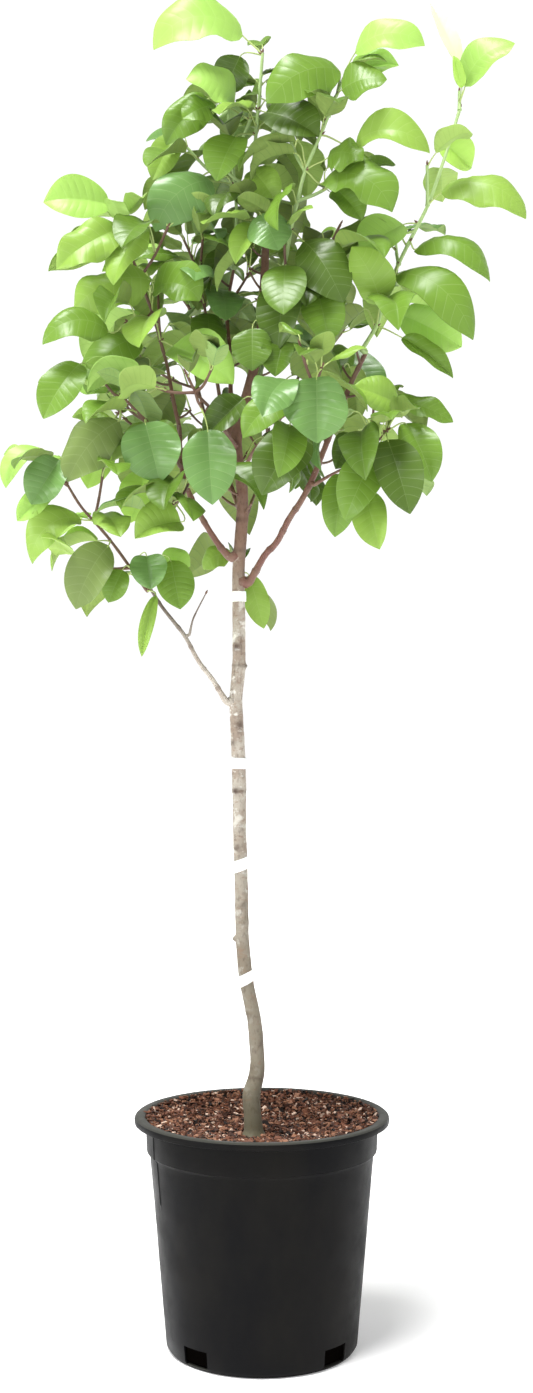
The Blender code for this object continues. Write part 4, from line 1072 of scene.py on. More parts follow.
def seen_place(point):
    """Across and height of a place as seen from the front, at the depth of the pot's middle."""
    share = -EYE[1] / (point.y / MM - EYE[1])
    return EYE[0] + (point.x / MM - EYE[0]) * share, EYE[2] + (point.z / MM - EYE[2]) * share


def shows_sky(point, spaces=OPEN_SPACES):
    """Whether the place stands, seen from the front, in one of the gaps."""
    across, height = seen_place(point)
    return any(((across - x) / wide) ** 2 + ((height - z) / high) ** 2 < 1 for x, z, wide, high in spaces)


class Crown:
    """The room that has been taken: limbs, the wood of every mass, and the leaves placed so far."""

    def __init__(self, limbs):
        shapes = [tube(*limb, TRUNK_SIDES) for limb in limbs.values()]
        shapes += [tie_shape(name, limbs["trunk"]) for name in TIES]
        self.limbs = [BVHTree.FromPolygons(*shape) for shape in shapes]
        self.wood = {}
        self.spaces = {}
        self.leaves = {}

    def add_wood(self, name, wood):
        """Takes up a mass's stem and twigs, and the space round them."""
        self.wood[name] = [BVHTree.FromPolygons(*tube(*twig, STEM_SIDES)) for twig in wood]
        points = [point for line, _ in wood for point in line]
        space = KDTree(len(points))
        for k, point in enumerate(points):
            space.insert(point, k)
        space.balance()
        self.spaces[name] = space
        self.leaves.setdefault(name, [])

    def twig_is_clear(self, name, twig):
        """Whether a side twig clears the limbs, the wood of the other masses and every leaf."""
        line, radii = twig
        free = [line[0].lerp(line[1], FREE_FROM), *line[1:]]
        shape = BVHTree.FromPolygons(*tube(free, [radius + TWIG_ROOM * MM for radius in radii], TWIG_SIDES))
        taken = [tree for other, trees in self.wood.items() if other != name for tree in trees]
        taken += [tree for placed in self.leaves.values() for _, tree in placed]
        return not any(shape.overlap(tree) for tree in self.limbs + taken)

    def keeps_to_space(self, name, leaf):
        """Whether the blade stays near its mass's wood, mostly out of the others' spaces and out of gaps."""
        if any(shows_sky(leaf.section(share)[0]) for share in SKY_SHARES):
            return False
        for share in SPACE_SHARES:
            point = leaf.section(share)[0]
            own = self.spaces[name].find(point)[2]
            nearest = min(space.find(point)[2] for space in self.spaces.values())
            if own > SPACE_REACH * MM or own > nearest + SPACE_EXCESS * MM:
                return False
        return True

    def is_clear(self, name, leaf, room=LEAF_ROOM):
        """Whether the leaf is sound and touches no limb, no other leaf and no wood but at its root."""
        if not leaf.is_sound():
            return False
        whole = BVHTree.FromPolygons(*leaf.shape(room * MM))
        if any(whole.overlap(tree) for tree in self.limbs):
            return False
        for other, trees in self.wood.items():
            if other != name and any(whole.overlap(tree) for tree in trees):
                return False
        free = BVHTree.FromPolygons(*leaf.shape(room * MM, ROOT_SHARE))
        if any(free.overlap(tree) for tree in self.wood[name]):
            return False
        for other, placed in self.leaves.items():
            mine = free if other == name else whole
            for neighbour, tree in placed:
                near = (neighbour.foot - leaf.foot).length < neighbour.length + leaf.length + NEAR_ENOUGH
                if near and mine.overlap(tree):
                    return False
        return True

    def takes(self, name, leaf):
        """Whether the leaf keeps to its space and is clear."""
        return self.keeps_to_space(name, leaf) and self.is_clear(name, leaf)

    def takes_finer(self, name, leaf):
        """Whether one of the finer leaves has room within the reach of the solids."""
        vertices, _ = leaf.shape(FINE_ROOM * MM)
        low, high = CAD_BOX
        if any(not low[k] < vertex[k] < high[k] for vertex in vertices for k in range(3)):
            return False
        return self.keeps_to_space(name, leaf) and self.is_clear(name, leaf, FINE_ROOM)

    def nearest_mass(self, point):
        """The mass whose wood is nearest."""
        return min(self.spaces, key=lambda name: self.spaces[name].find(point)[2])

    def add_leaf(self, name, leaf):
        """Takes a leaf into a mass."""
        self.leaves[name].append((leaf, BVHTree.FromPolygons(*leaf.shape())))


def add_rows(crown, masses, table, room):
    """The leaf of each row of a table, grown from the best root where it is clear."""
    for name, rows in table.items():
        for row in rows:
            for leaf in placed_leaves(masses[name], *row):
                if crown.is_clear(name, leaf, room):
                    crown.add_leaf(name, leaf)
                    break


def add_rule_leaves(crown, name, places, tries, takes, rng, scale=1.0):
    """A leaf by the rule at each place where one of the tries is taken."""
    azimuth = rng.uniform(0, math.tau)
    for place, heading, youth in places:
        azimuth += SPIRAL
        for _ in range(tries):
            leaf = rule_leaf(place, heading, youth, azimuth, rng, scale)
            if takes(name, leaf):
                crown.add_leaf(name, leaf)
                break


def grow_crown(limbs):
    """The crown, with the leaves of every mass, and each mass's wood by name."""
    crown = Crown(limbs)
    masses = {}
    rngs = {}
    for name, (carrier, _, _, _, seed, way) in MASSES.items():
        rngs[name] = random.Random(seed)
        stem = grow_stem(limbs, carrier, way)
        masses[name] = [stem, *reaching_twigs(stem, OUTLINE_LEAVES.get(name, ()))]
        crown.add_wood(name, masses[name])
    add_rows(crown, masses, OUTLINE_LEAVES, LEAF_ROOM)
    for name, (_, count, length, _, _, _) in MASSES.items():
        twigs = grow_twigs(masses[name][0], count, length, rngs[name])
        masses[name] += [twig for twig in twigs if crown.twig_is_clear(name, twig)]
        crown.add_wood(name, masses[name])
    for name, (_, _, _, spacing, _, _) in MASSES.items():
        add_rule_leaves(crown, name, leaf_places(masses[name], spacing), TRIES, crown.takes, rngs[name])
    return crown, masses


def hides_limb(leaf, limbs):
    """Whether the leaf stands in front of the foremost one or of a stretch of limb that stays in sight."""
    middles = [leaf.section(share)[0] for share in HIDING_SHARES]
    across, height, room, depth = FOREMOST
    for middle in middles:
        if middle.y / MM < depth and math.dist(seen_place(middle), (across, height)) < room:
            return True
    for name, low, high, room in SEEN_LIMBS:
        spots = [spot for spot in fine_line(*limbs[name], SEEN_STEP)[0] if low < spot.z / MM < high]
        for spot, middle in itertools.product(spots, middles):
            if middle.y < spot.y and math.dist(seen_place(spot), seen_place(middle)) < room:
                return True
    return False


def is_shown(leaf, limbs):
    """Whether a leaf is kept: one of a table's rows, or one that leaves the gaps and limbs in sight."""
    if leaf.tone:
        return True
    middles = [leaf.section(share)[0] for share in SKY_SHARES]
    return not any(shows_sky(middle, FINE_SPACES) for middle in middles) and not hides_limb(leaf, limbs)


def add_finer_leaves(crown, masses):
    """More, smaller leaves on each mass's wood, where there is room and the sky doesn't show."""
    for name, (_, _, _, _, seed, _) in MASSES.items():
        places = leaf_places(masses[name], FINE_SPACING)
        rng = random.Random(seed + FINE_SEED)
        add_rule_leaves(crown, name, places, FINE_TRIES, crown.takes_finer, rng, FINE_SIZE)


def grow_spur(crown, middle, heading, radius, turn, rng):
    """The line and radii of a spur whose leaves the crown has taken, or nothing where there is no room."""
    out = Quaternion(heading, turn) @ heading.orthogonal().normalized()
    reach = SPUR_LENGTH * rng.uniform(*SPUR_LENGTHS) * MM
    start = middle + out * (radius + SPUR_STAND * MM)
    end = start + (out * SPUR_OUT + UP * SPUR_UP) * reach
    line = [start, start.lerp(end, 0.5) - UP * TWIG_SAG * reach, end]
    radii = [SPUR_THICKNESS / 2 * MM] * 3
    name = crown.nearest_mass(end)
    if not crown.twig_is_clear(name, (line, radii)):
        return None
    placed = 0
    for k in range(SPUR_LEAVES):
        leaf = rule_leaf(end, (end - start).normalized(), SPUR_YOUTH, turn + k * SPIRAL, rng, FINE_SIZE)
        if crown.takes_finer(name, leaf):
            crown.add_leaf(name, leaf)
            placed += 1
    return ([middle, *line], [SPUR_SWELL * radii[0], *radii]) if placed else None


def add_spurs(crown, limbs):
    """Short spurs with a few leaves on the limbs inside the crown. Returns their lines and radii."""
    spurs = []
    rng = random.Random(SPUR_SEED)
    for limb, first in SPUR_LIMBS.items():
        line, radii = limbs[limb]
        travelled = distances(line)
        turn = rng.uniform(0, math.tau)
        place = first * travelled[-1]
        while place < travelled[-1]:
            middle, i = point_along(line, travelled, place)
            place += SPUR_SPACING * MM
            for _ in range(FINE_TRIES):
                turn += SPIRAL
                spur = grow_spur(crown, middle, tangent(line, i), radii[i], turn, rng)
                if spur:
                    spurs.append(spur)
                    break
    return spurs


class Gather:
    """Vertices and faces collected for one piece, each face with the number of its material."""

    def __init__(self):
        self.vertices = []
        self.faces = []
        self.kinds = []
        self.shades = []

    def add(self, vertices, faces, kinds=0, shades=()):
        """Adds a mesh, with one kind for all its faces or a list of them, and how dark each point is."""
        first = len(self.vertices)
        self.vertices.extend(vertices)
        self.faces.extend(tuple(first + corner for corner in face) for face in faces)
        self.kinds.extend([kinds] * len(faces) if isinstance(kinds, int) else kinds)
        self.shades.extend(shades or [0.0] * len(vertices))


def link(name, data, place=(0, 0, 0)):
    """A new object in the scene."""
    obj = bpy.data.objects.new(name, data)
    obj.location = place
    bpy.context.scene.collection.objects.link(obj)
    return obj


def make_piece(name, gather, materials, replaced=(), sharp=60):
    """One piece of the scene, with its materials and the solids that it replaces."""
    mesh = bpy.data.meshes.new(name)
    mesh.from_pydata(gather.vertices, [], gather.faces)
    for material in materials:
        mesh.materials.append(material)
    mesh.polygons.foreach_set("material_index", gather.kinds)
    mesh.shade_smooth()
    mesh.set_sharp_from_angle(angle=math.radians(sharp))
    shade = mesh.attributes.new("shade", "FLOAT", "POINT")
    shade.data.foreach_set("value", gather.shades)
    obj = link(name, mesh)
    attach(obj, "root")
    if replaced:
        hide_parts(*replaced)


def fine_line(line, radii, step):
    """The same line and radii at a finer step."""
    finer = [radii[0]]
    for k, (start, end) in enumerate(zip(line, line[1:])):
        count = max(1, round((end - start).length / (step * MM)))
        finer += [radii[k] + (radii[k + 1] - radii[k]) * j / count for j in range(1, count + 1)]
    return smooth_line(line, step), finer


def wood_tube(gather, line, radii, sides, relief=None, level_foot=False):
    """A closed tube whose surface rises by the relief's value, in metres, at each place."""
    vertices = []
    shades = []
    rings = zip(line, radii, distances(line), ring_spokes(line, sides, level_foot))
    for middle, radius, travelled, spokes in rings:
        for spoke in spokes:
            rise, shade = relief(middle + spoke * radius, spoke, travelled, radius) if relief else (0, 0)
            vertices.append(middle + spoke * (radius + rise))
            shades.append(shade)
    gather.add(vertices, tube_faces(len(line), sides), 0, shades)


def spindle(gather, foot, way, size=MM):
    """A small pointed bud."""
    line = [foot + way * (BUD_LENGTH * size) * share for share, _ in BUD_PROFILE]
    radii = [BUD_THICKNESS * size / 2 * width for _, width in BUD_PROFILE]
    wood_tube(gather, line, radii, BUD_SIDES)


def trunk_relief(point, spoke, along, radius):
    """Lumps, fine ridges, rings and knots of the trunk, and how dark each place is."""
    bearing = math.degrees(math.atan2(spoke.x, -spoke.y))
    height = point.z / MM
    rise = sum(lift * noise.noise(point * scale) for lift, scale in TRUNK_LUMPS)
    lift, round_scale, up_scale = TRUNK_BANDS
    rise += lift * noise.noise(Vector((spoke.x * round_scale, spoke.y * round_scale, point.z * up_scale)))
    shade = 0.0
    for ring, lift in RINGS:
        near = math.exp(-(((height - ring) / RING_HALF_WIDTH) ** 2))
        rise += lift * near
        shade += RING_SHADE * near
    for level, side, breadth, lift, dark in KNOTS:
        if abs(height - level) < KNOT_REACH * breadth:
            turn = (bearing - side + 180) % 360 - 180
            gap = math.hypot(height - level, math.radians(turn) * radius / MM) / breadth
            hollow = KNOT_HOLLOW * math.exp(-((gap * HOLLOW_NARROWING) ** 2)) if lift < LUMP_RISE else 0
            rise += lift * (math.exp(-(gap**2)) - hollow)
            shade += dark * math.exp(-((gap * SHADE_NARROWING) ** 2))
    return (rise + STOUTER) * (radius / (USUAL_RADIUS * MM)) * MM, min(1.0, shade)


def limb_relief(point, spoke, along, radius):
    """Nodes and lumps of a bough, and the darker bark at each node."""
    place = along / MM + NODE_WANDER * noise.noise(point * NODE_WANDER_SCALE)
    from_node = (place + NODE_SPACING / 2) % NODE_SPACING - NODE_SPACING / 2
    near = math.exp(-((from_node / NODE_HALF_WIDTH) ** 2))
    rise = sum((lift * noise.noise(point * scale) for lift, scale in LIMB_LUMPS), NODE_RISE * near)
    return rise * radius / (USUAL_LIMB_RADIUS * MM) * MM, NODE_SHADE * near


def limb_wood(gather, line, radii, depth, swell, step, sides):
    """A limb begun inside what carries it, with a smooth collar there."""
    inward = (line[0] - line[1]).normalized()
    line, radii = fine_line([line[0] + inward * depth * MM, *line], [radii[0], *radii], step)
    reach = COLLAR_REACH * MM / 2
    collars = [math.exp(-max(0, way - depth * MM) / reach) for way in distances(line)]
    radii = [radius * (1 + swell * collar) for radius, collar in zip(radii, collars)]
    wood_tube(gather, line, radii, sides, limb_relief)


def blade_rows():
    """Where a blade's rows of points cross its midrib, as shares of its length, and how far each row stands
    up between the side veins."""
    rows = list(FOOT_ROWS)
    for k in range(VEINS):
        vein = FIRST_VEIN + VEIN_SPACING * k
        rows += [(vein - VEIN_HALF_WIDTH, 0), (vein + VEIN_HALF_WIDTH, 0), (vein + VEIN_SPACING / 2, 1)]
    return np.array([*rows, *TIP_ROWS])


def blade_halves(leaf, share):
    """The blade's half width at shares of its length, narrowed towards its point."""
    peak = BLADE_ROUND / (BLADE_ROUND + ROUND_TAPER)
    widest = peak**BLADE_ROUND * (1 - peak) ** ROUND_TAPER
    half = WIDER * leaf.width / 2 * share**BLADE_ROUND * (1 - share) ** ROUND_TAPER / widest
    half = half * (1 - TIP_PINCH * np.exp((share - 1) / TIP_REACH))
    return np.maximum(half, LEAST_HALF * MM * (1 - share) + POINT_HALF * MM)


def blade_relief(leaf, rows, out, sign, share, rng):
    """How far each point of a blade rises, folded, curled, waved and veined, and how far out it lies."""
    calm = PLACED_CALM if leaf.tone else 1
    half = blade_halves(leaf, share)
    rib = np.minimum(RIB_HALF_WIDTH * MM * (1 - RIB_TAPER * share), 0.5 * half)
    width = rib + (half - rib) * out
    fold = np.where(sign > 0, rng.uniform(*FOLD_SHARES), rng.uniform(*FOLD_SHARES)) * FOLD
    if leaf.tone and leaf.arch > ARCHED:
        fold = np.where(sign * leaf.side.z < 0, -rng.uniform(*HANG) * FOLD, fold)
    phase = np.where(sign > 0, rng.uniform(0, math.tau), rng.uniform(0, math.tau))
    rise = np.sin(fold) * (width * (1 + BULGE * (1 - out)) - BULGE * rib)
    rise = rise + calm * rng.uniform(*CURL) * half * out**2 * np.sin(math.pi * share**CURL_PEAK)
    wave = rng.uniform(*EDGE_WAVE)
    rise = rise + wave * half * out**2 * np.sin(math.tau * rng.uniform(*WAVES) * share + phase)
    rise = rise + VEIN_RISE * MM * rows[:, 1:] * 4 * out * (1 - out) * half / (USUAL_HALF * MM)
    return rise, sign * (np.cos(fold) * width)


def blade_axes(leaf, share, twist):
    """The ways up, ahead and sideways at each point of a bent and twisted blade."""
    along, up, side = (np.array(axis) for axis in (leaf.along, leaf.up, leaf.side))
    turn = (leaf.arch * (0.5 - share))[:, :, None]
    twist = twist[:, :, None]
    bent_up = up * np.cos(turn) - along * np.sin(turn)
    ahead = along * np.cos(turn) + up * np.sin(turn)
    sideways = side * np.cos(twist) + bent_up * np.sin(twist)
    return bent_up * np.cos(twist) - side * np.sin(twist), ahead, sideways


def blade_midrib(leaf, share, droop):
    """Where the arched midrib of a blade runs at shares of its length, as far down as it droops."""
    turn = leaf.arch * (0.5 - share)
    bend = leaf.length / leaf.arch
    forward = bend * (math.sin(leaf.arch / 2) - np.sin(turn))[:, :, None]
    lift = (bend * (np.cos(turn) - math.cos(leaf.arch / 2)) - droop)[:, :, None]
    return np.array(leaf.foot) + np.array(leaf.along) * forward + np.array(leaf.up) * lift


def blade_skins(leaf, rows, rng):
    """Points of the upper and the under skin of one blade, row by row."""
    calm = PLACED_CALM if leaf.tone else 1
    out = np.array(HALF_SHARES[::-1] + HALF_SHARES)[None, :]
    sign = np.array([-1.0] * len(HALF_SHARES) + [1.0] * len(HALF_SHARES))[None, :]
    share = rows[:, :1] + VEIN_SLANT * out * np.sin(math.pi * rows[:, :1])
    rise, spread = blade_relief(leaf, rows, out, sign, share, rng)
    twist = calm * rng.uniform(-TWIST, TWIST) * (share - TWIST_FROM)
    up, ahead, sideways = blade_axes(leaf, share, twist)
    droop = calm * rng.uniform(*DROOP) * leaf.length * np.maximum(0, share - DROOP_FROM) ** 2
    back = LOBE * rng.uniform(0, 1) * leaf.length * out**2 * np.exp(-share / LOBE_REACH)
    base = blade_midrib(leaf, share, droop) + sideways * spread[:, :, None] - ahead * back[:, :, None]
    grooves = np.where(out == 0, RIB_DEPTH * (1 - DEPTH_TAPER * share), VEIN_DEPTH * (rows[:, 1:] == 0))
    upper = base + up * (rise + UPPER_SKIN * MM)[:, :, None]
    under = base + up * (rise - (grooves + UNDER_SKIN) * MM)[:, :, None]
    return upper.reshape(-1, 3), under.reshape(-1, 3)


def blade_faces(rows):
    """Faces of a blade between its two skins, and the kind of each: upper, under or rib."""
    columns = 2 * len(HALF_SHARES)
    count = columns * len(rows)
    faces = []
    kinds = []
    for i in range(len(rows) - 1):
        is_vein = rows[i + 1, 0] - rows[i, 0] < WIDEST_VEIN
        for j in range(columns - 1):
            a = i * columns + j
            faces.append((a, a + columns, a + columns + 1, a + 1))
            faces.append((count + a, count + a + 1, count + a + columns + 1, count + a + columns))
            kinds += ["rib", "rib"] if is_vein or j == len(HALF_SHARES) - 1 else ["upper", "under"]
        a = i * columns
        b = a + columns - 1
        faces.append((a, count + a, count + a + columns, a + columns))
        faces.append((b, b + columns, count + b + columns, count + b))
        kinds += ["rib", "rib"]
    last = (len(rows) - 1) * columns
    for j in range(columns - 1):
        faces.append((j, j + 1, count + j + 1, count + j))
        faces.append((last + j, count + last + j, count + last + j + 1, last + j + 1))
        kinds += ["rib", "rib"]
    return faces, kinds


def stalk_line(leaf):
    """The stalk's curve, from its root to the blade's foot, a little slack."""
    reach = (leaf.foot - leaf.root).length
    leave = (leaf.foot - leaf.root).normalized()
    first = leaf.root + (leave + UP * STALK_LIFT) * reach * STALK_LEAVE
    last = leaf.foot - leaf.start * reach * STALK_ARRIVE
    line = []
    for k in range(STALK_STEPS + 1):
        t = k / STALK_STEPS
        bend = leaf.root * (1 - t) ** 3 + first * 3 * t * (1 - t) ** 2 + last * 3 * t**2 * (1 - t)
        line.append(bend + leaf.foot * t**3)
    return line


def dress_leaf(leaf, rng, stalks, buds):
    """A leaf's stalk, and the bud that sits above its root."""
    growth = leaf.length / (LEAF_LENGTH * MM)
    thick = PETIOLE_THICKNESS / 2 * MM * (1 - STALK_GROWTH + STALK_GROWTH * growth)
    radii = [thick * (STALK_FOOT - STALK_TAPER * k / STALK_STEPS) for k in range(STALK_STEPS + 1)]
    wood_tube(stalks, stalk_line(leaf), radii, STALK_SIDES)
    way = ((leaf.foot - leaf.root).normalized() + UP * BUD_UPRIGHT).normalized()
    spindle(buds, leaf.root + way * BUD_STAND * MM, way, rng.uniform(*BUD_SIZES) * MM)


def deal_tone_with_painted_light(name, leaf, rng):
    """A tone for a leaf, with painted light and shade: bright towards the crown's edge and top, deep inside
    it and at the back.
    """
    middle = leaf.section(0.5)[0]
    out = min(1.0, abs(middle.x) / BRIGHT_OUT)
    high = min(1.0, max(0.0, (middle.z - BRIGHT_FROM) / BRIGHT_RISE))
    # Painted light outwards and upwards, and painted shade at the back
    level = FIRST_TONE + OUT_LIGHT_TONES * out**OUT_POWER + HIGH_LIGHT_TONES * high + rng.gauss(0, TONE_PLAY)
    level -= BACK_SHADE_TONES if "back" in name else 0
    tone = TONE_ORDER[min(len(TONE_ORDER) - 1, max(0, round(level)))]
    return "blue" if tone in ("dark", "green") and rng.random() < BLUE_SHARE else tone


def set_sockets(node, values):
    """Sets sockets by name, where _ stands for a space."""
    for socket, value in values.items():
        node.inputs[socket.replace("_", " ")].default_value = value


def make_principled(name, colour, roughness, **sockets):
    """A material of one colour, with further sockets of its shader by name."""
    material = bpy.data.materials.new(name)
    material.use_nodes = True
    shader = material.node_tree.nodes["Principled BSDF"]
    shader.inputs["Base Color"].default_value = (*colour, 1)
    shader.inputs["Roughness"].default_value = roughness
    set_sockets(shader, sockets)
    return material


def add_node(tree, kind, settings=(), **inputs):
    """A new node with its settings and the values of its sockets."""
    node = tree.nodes.new(kind)
    for field, value in dict(settings).items():
        setattr(node, field, value)
    set_sockets(node, inputs)
    return node


def ramp(tree, value, **ends):
    """A value brought from one range to another and kept inside it."""
    step = add_node(tree, "ShaderNodeMapRange", {"clamp": True}, **ends)
    tree.links.new(value, step.inputs["Value"])
    return step.outputs["Result"]


def upright_share(tree, source, output):
    """How high a place is, or how far a face looks up, as the source node says."""
    split = add_node(tree, "ShaderNodeSeparateXYZ")
    tree.links.new(add_node(tree, source).outputs[output], split.inputs["Vector"])
    return split.outputs["Z"]


def patches(tree, scale, low, high, stretch=(1, 1, 1)):
    """A factor that wanders from 0 to 1 in patches, as many to the metre as the scale says."""
    place = add_node(tree, "ShaderNodeTexCoord")
    mapping = add_node(tree, "ShaderNodeMapping", Scale=stretch)
    spots = add_node(tree, "ShaderNodeTexNoise", Scale=scale, Detail=4, Roughness=0.6)
    tree.links.new(place.outputs["Object"], mapping.inputs["Vector"])
    tree.links.new(mapping.outputs["Vector"], spots.inputs["Vector"])
    return ramp(tree, spots.outputs["Fac"], From_Min=low, From_Max=high)


def climb(tree, low, high):
    """A factor that goes from 0 at the first height to 1 at the second, in millimetres."""
    height = upright_share(tree, "ShaderNodeTexCoord", "Object")
    return ramp(tree, height, From_Min=low * MM, From_Max=high * MM)


def upward(tree):
    """A factor that grows where a face looks up, for the pot's painted top highlight."""
    return ramp(tree, upright_share(tree, "ShaderNodeNewGeometry", "Normal"), From_Min=0.3)


def shaded(tree):
    """The dark places that the mesh carries."""
    return add_node(tree, "ShaderNodeAttribute", {"attribute_name": "shade"}).outputs["Fac"]


def layer(tree, under, factor, colour, strength=1.0):
    """The colour laid over what is under it, as far as the factor says."""
    mix = add_node(tree, "ShaderNodeMix", {"data_type": "RGBA"})
    scaled = add_node(tree, "ShaderNodeMath", {"operation": "MULTIPLY"})
    scaled.inputs[1].default_value = strength
    tree.links.new(factor, scaled.inputs[0])
    tree.links.new(scaled.outputs[0], mix.inputs[0])
    if isinstance(under, tuple):
        mix.inputs[MIX_UNDER].default_value = (*under, 1)
    else:
        tree.links.new(under, mix.inputs[MIX_UNDER])
    mix.inputs[MIX_OVER].default_value = (*colour, 1)
    return mix.outputs[MIX_RESULT]


def paint(material, colour, layers, bump):
    """Layers of colour over a first one, each as far as its factor says, and a fine bump.

    A layer is its factor, as a function and its values, its colour and its strength. The bump is the scale
    of its patches, its strength, its distance in metres and how its patches are stretched."""
    tree = material.node_tree
    shader = tree.nodes["Principled BSDF"]
    for (factor, *values), over, strength in layers:
        colour = layer(tree, colour, factor(tree, *values), over, strength)
    tree.links.new(colour, shader.inputs["Base Color"])
    scale, strength, distance, stretch = bump
    relief = add_node(tree, "ShaderNodeBump", Strength=strength, Distance=distance)
    tree.links.new(patches(tree, scale, *BUMP_RANGE, stretch), relief.inputs["Height"])
    tree.links.new(relief.outputs["Normal"], shader.inputs["Normal"])
    return material


def make_trunk_bark():
    """Grey bark with pale and brown patches, darker low down and redder inside the crown."""
    material = make_principled("trunk_bark", GREY_BARK, 0.72, Specular_IOR_Level=0.3)
    layers = (
        ((patches, 40, 0.46, 0.6, (1, 1, 0.8)), BROWN_BARK, 0.55),
        ((patches, 70, 0.54, 0.62, (1, 1, 1.2)), PALE_BARK, 0.85),
        ((climb, 660, 400), LOW_BARK, 0.82),
        ((climb, 780, 890), BROWN_BARK, 0.85),
        ((climb, 830, 930), RED_BARK, 0.7),
        ((patches, 110, 0.56, 0.68, (1, 1, 2.2)), BROWN_BARK, 0.6),
        ((patches, 300, 0.52, 0.7, (1, 1, 0.5)), DARK_BARK, 0.45),
        ((climb, 330, 250), GREEN_BARK, 0.7),
        ((shaded,), DARK_BARK, 0.95),
    )
    return paint(material, GREY_BARK, layers, (900, 0.35, 0.0006, BARK_STRETCH))


def make_bough_bark():
    """Red-brown bark with small pale spots."""
    material = make_principled("bough_bark", RED_BARK, 0.5, Specular_IOR_Level=0.4)
    layers = (
        ((patches, 70, 0.45, 0.65, (1, 1, 0.6)), BROWN_BARK, 0.65),
        ((patches, 420, 0.66, 0.72), PALE_BARK, 0.5),
        ((shaded,), DARK_BARK, 0.6),
    )
    return paint(material, RED_BARK, layers, (900, 0.3, 0.0004, BARK_STRETCH))


def make_low_bark():
    """The low bough's bark: grey near the trunk and dark further out."""
    material = make_principled("low_bough_bark", GREY_BARK, 0.6)
    layers = (
        ((patches, 60, 0.42, 0.62), BROWN_BARK, 0.5),
        ((climb, 745, 800), DARK_BARK, 0.75),
        ((shaded,), DARK_BARK, 0.6),
    )
    return paint(material, GREY_BARK, layers, (900, 0.3, 0.0004, BARK_STRETCH))


def make_plastic():
    """Black moulded plastic, a little dusty and worn, with a painted highlight on the faces that look up."""
    material = make_principled("pot_plastic", BLACK_PLASTIC, 0.4, Specular_IOR_Level=0.055)
    tree = material.node_tree
    gloss = add_node(tree, "ShaderNodeMapRange", To_Min=0.36, To_Max=0.52)
    tree.links.new(patches(tree, 30, 0.35, 0.65), gloss.inputs["Value"])
    tree.links.new(gloss.outputs["Result"], tree.nodes["Principled BSDF"].inputs["Roughness"])
    layers = (
        ((patches, 14, 0.4, 0.7, (1, 1, 0.5)), PLASTIC_DUST, 0.8),
        ((patches, 900, 0.68, 0.76), PLASTIC_WEAR, 0.5),
        # Painted highlight where faces look up
        ((upward,), PLASTIC_TOP_HIGHLIGHT, 0.9),
    )
    return paint(material, BLACK_PLASTIC, layers, (1400, 0.12, 0.0002, (1, 1, 1)))


def make_soil_bed_material():
    """Damp potting mix in two browns, with near-black patches painted as the shade in its pores."""
    brown, dark, _, black, _ = CHIP_COLOURS
    material = make_principled("soil_bed", dark, 0.95, Specular_IOR_Level=0.05)
    layers = (
        ((patches, 200, 0.4, 0.6), brown, 0.8),
        # Patches of painted shade in the pores
        ((patches, 420, 0.5, 0.62), black, 0.8),
    )
    return paint(material, dark, layers, (600, 0.8, 0.0012, (1, 1, 1)))


def make_tape():
    """Soft white plastic tape."""
    material = make_principled("white_tape", TAPE_WHITE, 0.45, Subsurface_Weight=0.2, Subsurface_Scale=0.002)
    layers = (((patches, 160, 0.45, 0.65), TAPE_GREY, 0.5),)
    return paint(material, TAPE_WHITE, layers, (500, 0.3, 0.0003, (0.2, 0.2, 1)))


def pot_rows():
    """The pot's outline as radius and height, from underneath over the rim to the middle of the floor."""
    slope = (BODY_TOP_RADIUS - BODY_FOOT_RADIUS) / (COLLAR_FOOT - POT_WALL - BASE_CORNER)

    def body(height):
        return BODY_FOOT_RADIUS + slope * (height - BASE_CORNER)

    rows = [(0, 0), (INNER_RING, 0)]
    rows += [(BASE_RADIUS + out, height) for out, height in FOOT_STEPS]
    rows += [(body(height), height) for height in BODY_HEIGHTS]
    rows += [(radius + out, height) for radius, steps in RIM_STEPS for out, height in steps]
    rows += [(body(height) - POT_WALL, height) for height in INSIDE_HEIGHTS]
    return rows + [(BASE_RADIUS + FOOT_STEPS[0][0], POT_FLOOR), (INNER_RING, POT_FLOOR), (0, POT_FLOOR)]


def pot_angles():
    """Bearings of the pot's columns: even steps, with more at the drain slots' sides and at the rib."""
    edges = [middle + side * DRAIN_HALF_ANGLE for middle in DRAIN_MIDDLES for side in (-1, 1)]
    edges += [RIB_ANGLE + turn for turn in RIB_TURNS]
    steps = [-180 + 360 * k / POT_STEPS for k in range(POT_STEPS)]
    steps = [step for step in steps if all(abs(step - edge) > 0.5 for edge in edges)]
    return sorted(steps + edges)


def pot_points(rows, angles):
    """The pot's points, and the ring of their numbers for each row of its outline."""
    vertices = []
    rings = []
    for radius, height in rows:
        if radius == 0:
            rings.append([len(vertices)] * len(angles))
            vertices.append(Vector((0, 0, height * MM)))
            continue
        rings.append([len(vertices) + k for k in range(len(angles))])
        has_rib = radius > BODY_FOOT_RADIUS and RIB_FOOT <= height < POT_HEIGHT - RIM_DROP
        for angle in angles:
            turn = math.radians(angle)
            from_rib = (angle - RIB_ANGLE) * radius / RADIAN
            rise = RIB_RISE * math.exp(-((from_rib / (RIB_WIDTH / 2)) ** 2)) if has_rib else 0
            across = math.cos(turn)
            back = math.sin(turn)
            place = Vector((across * POT_LUMPS, back * POT_LUMPS, height / POT_LUMP_HEIGHT))
            rise += POT_LUMP_RISE * noise.noise(place)
            reach = (radius + rise) * MM
            vertices.append(Vector((reach * across, reach * back, height * MM)))
    return vertices, rings


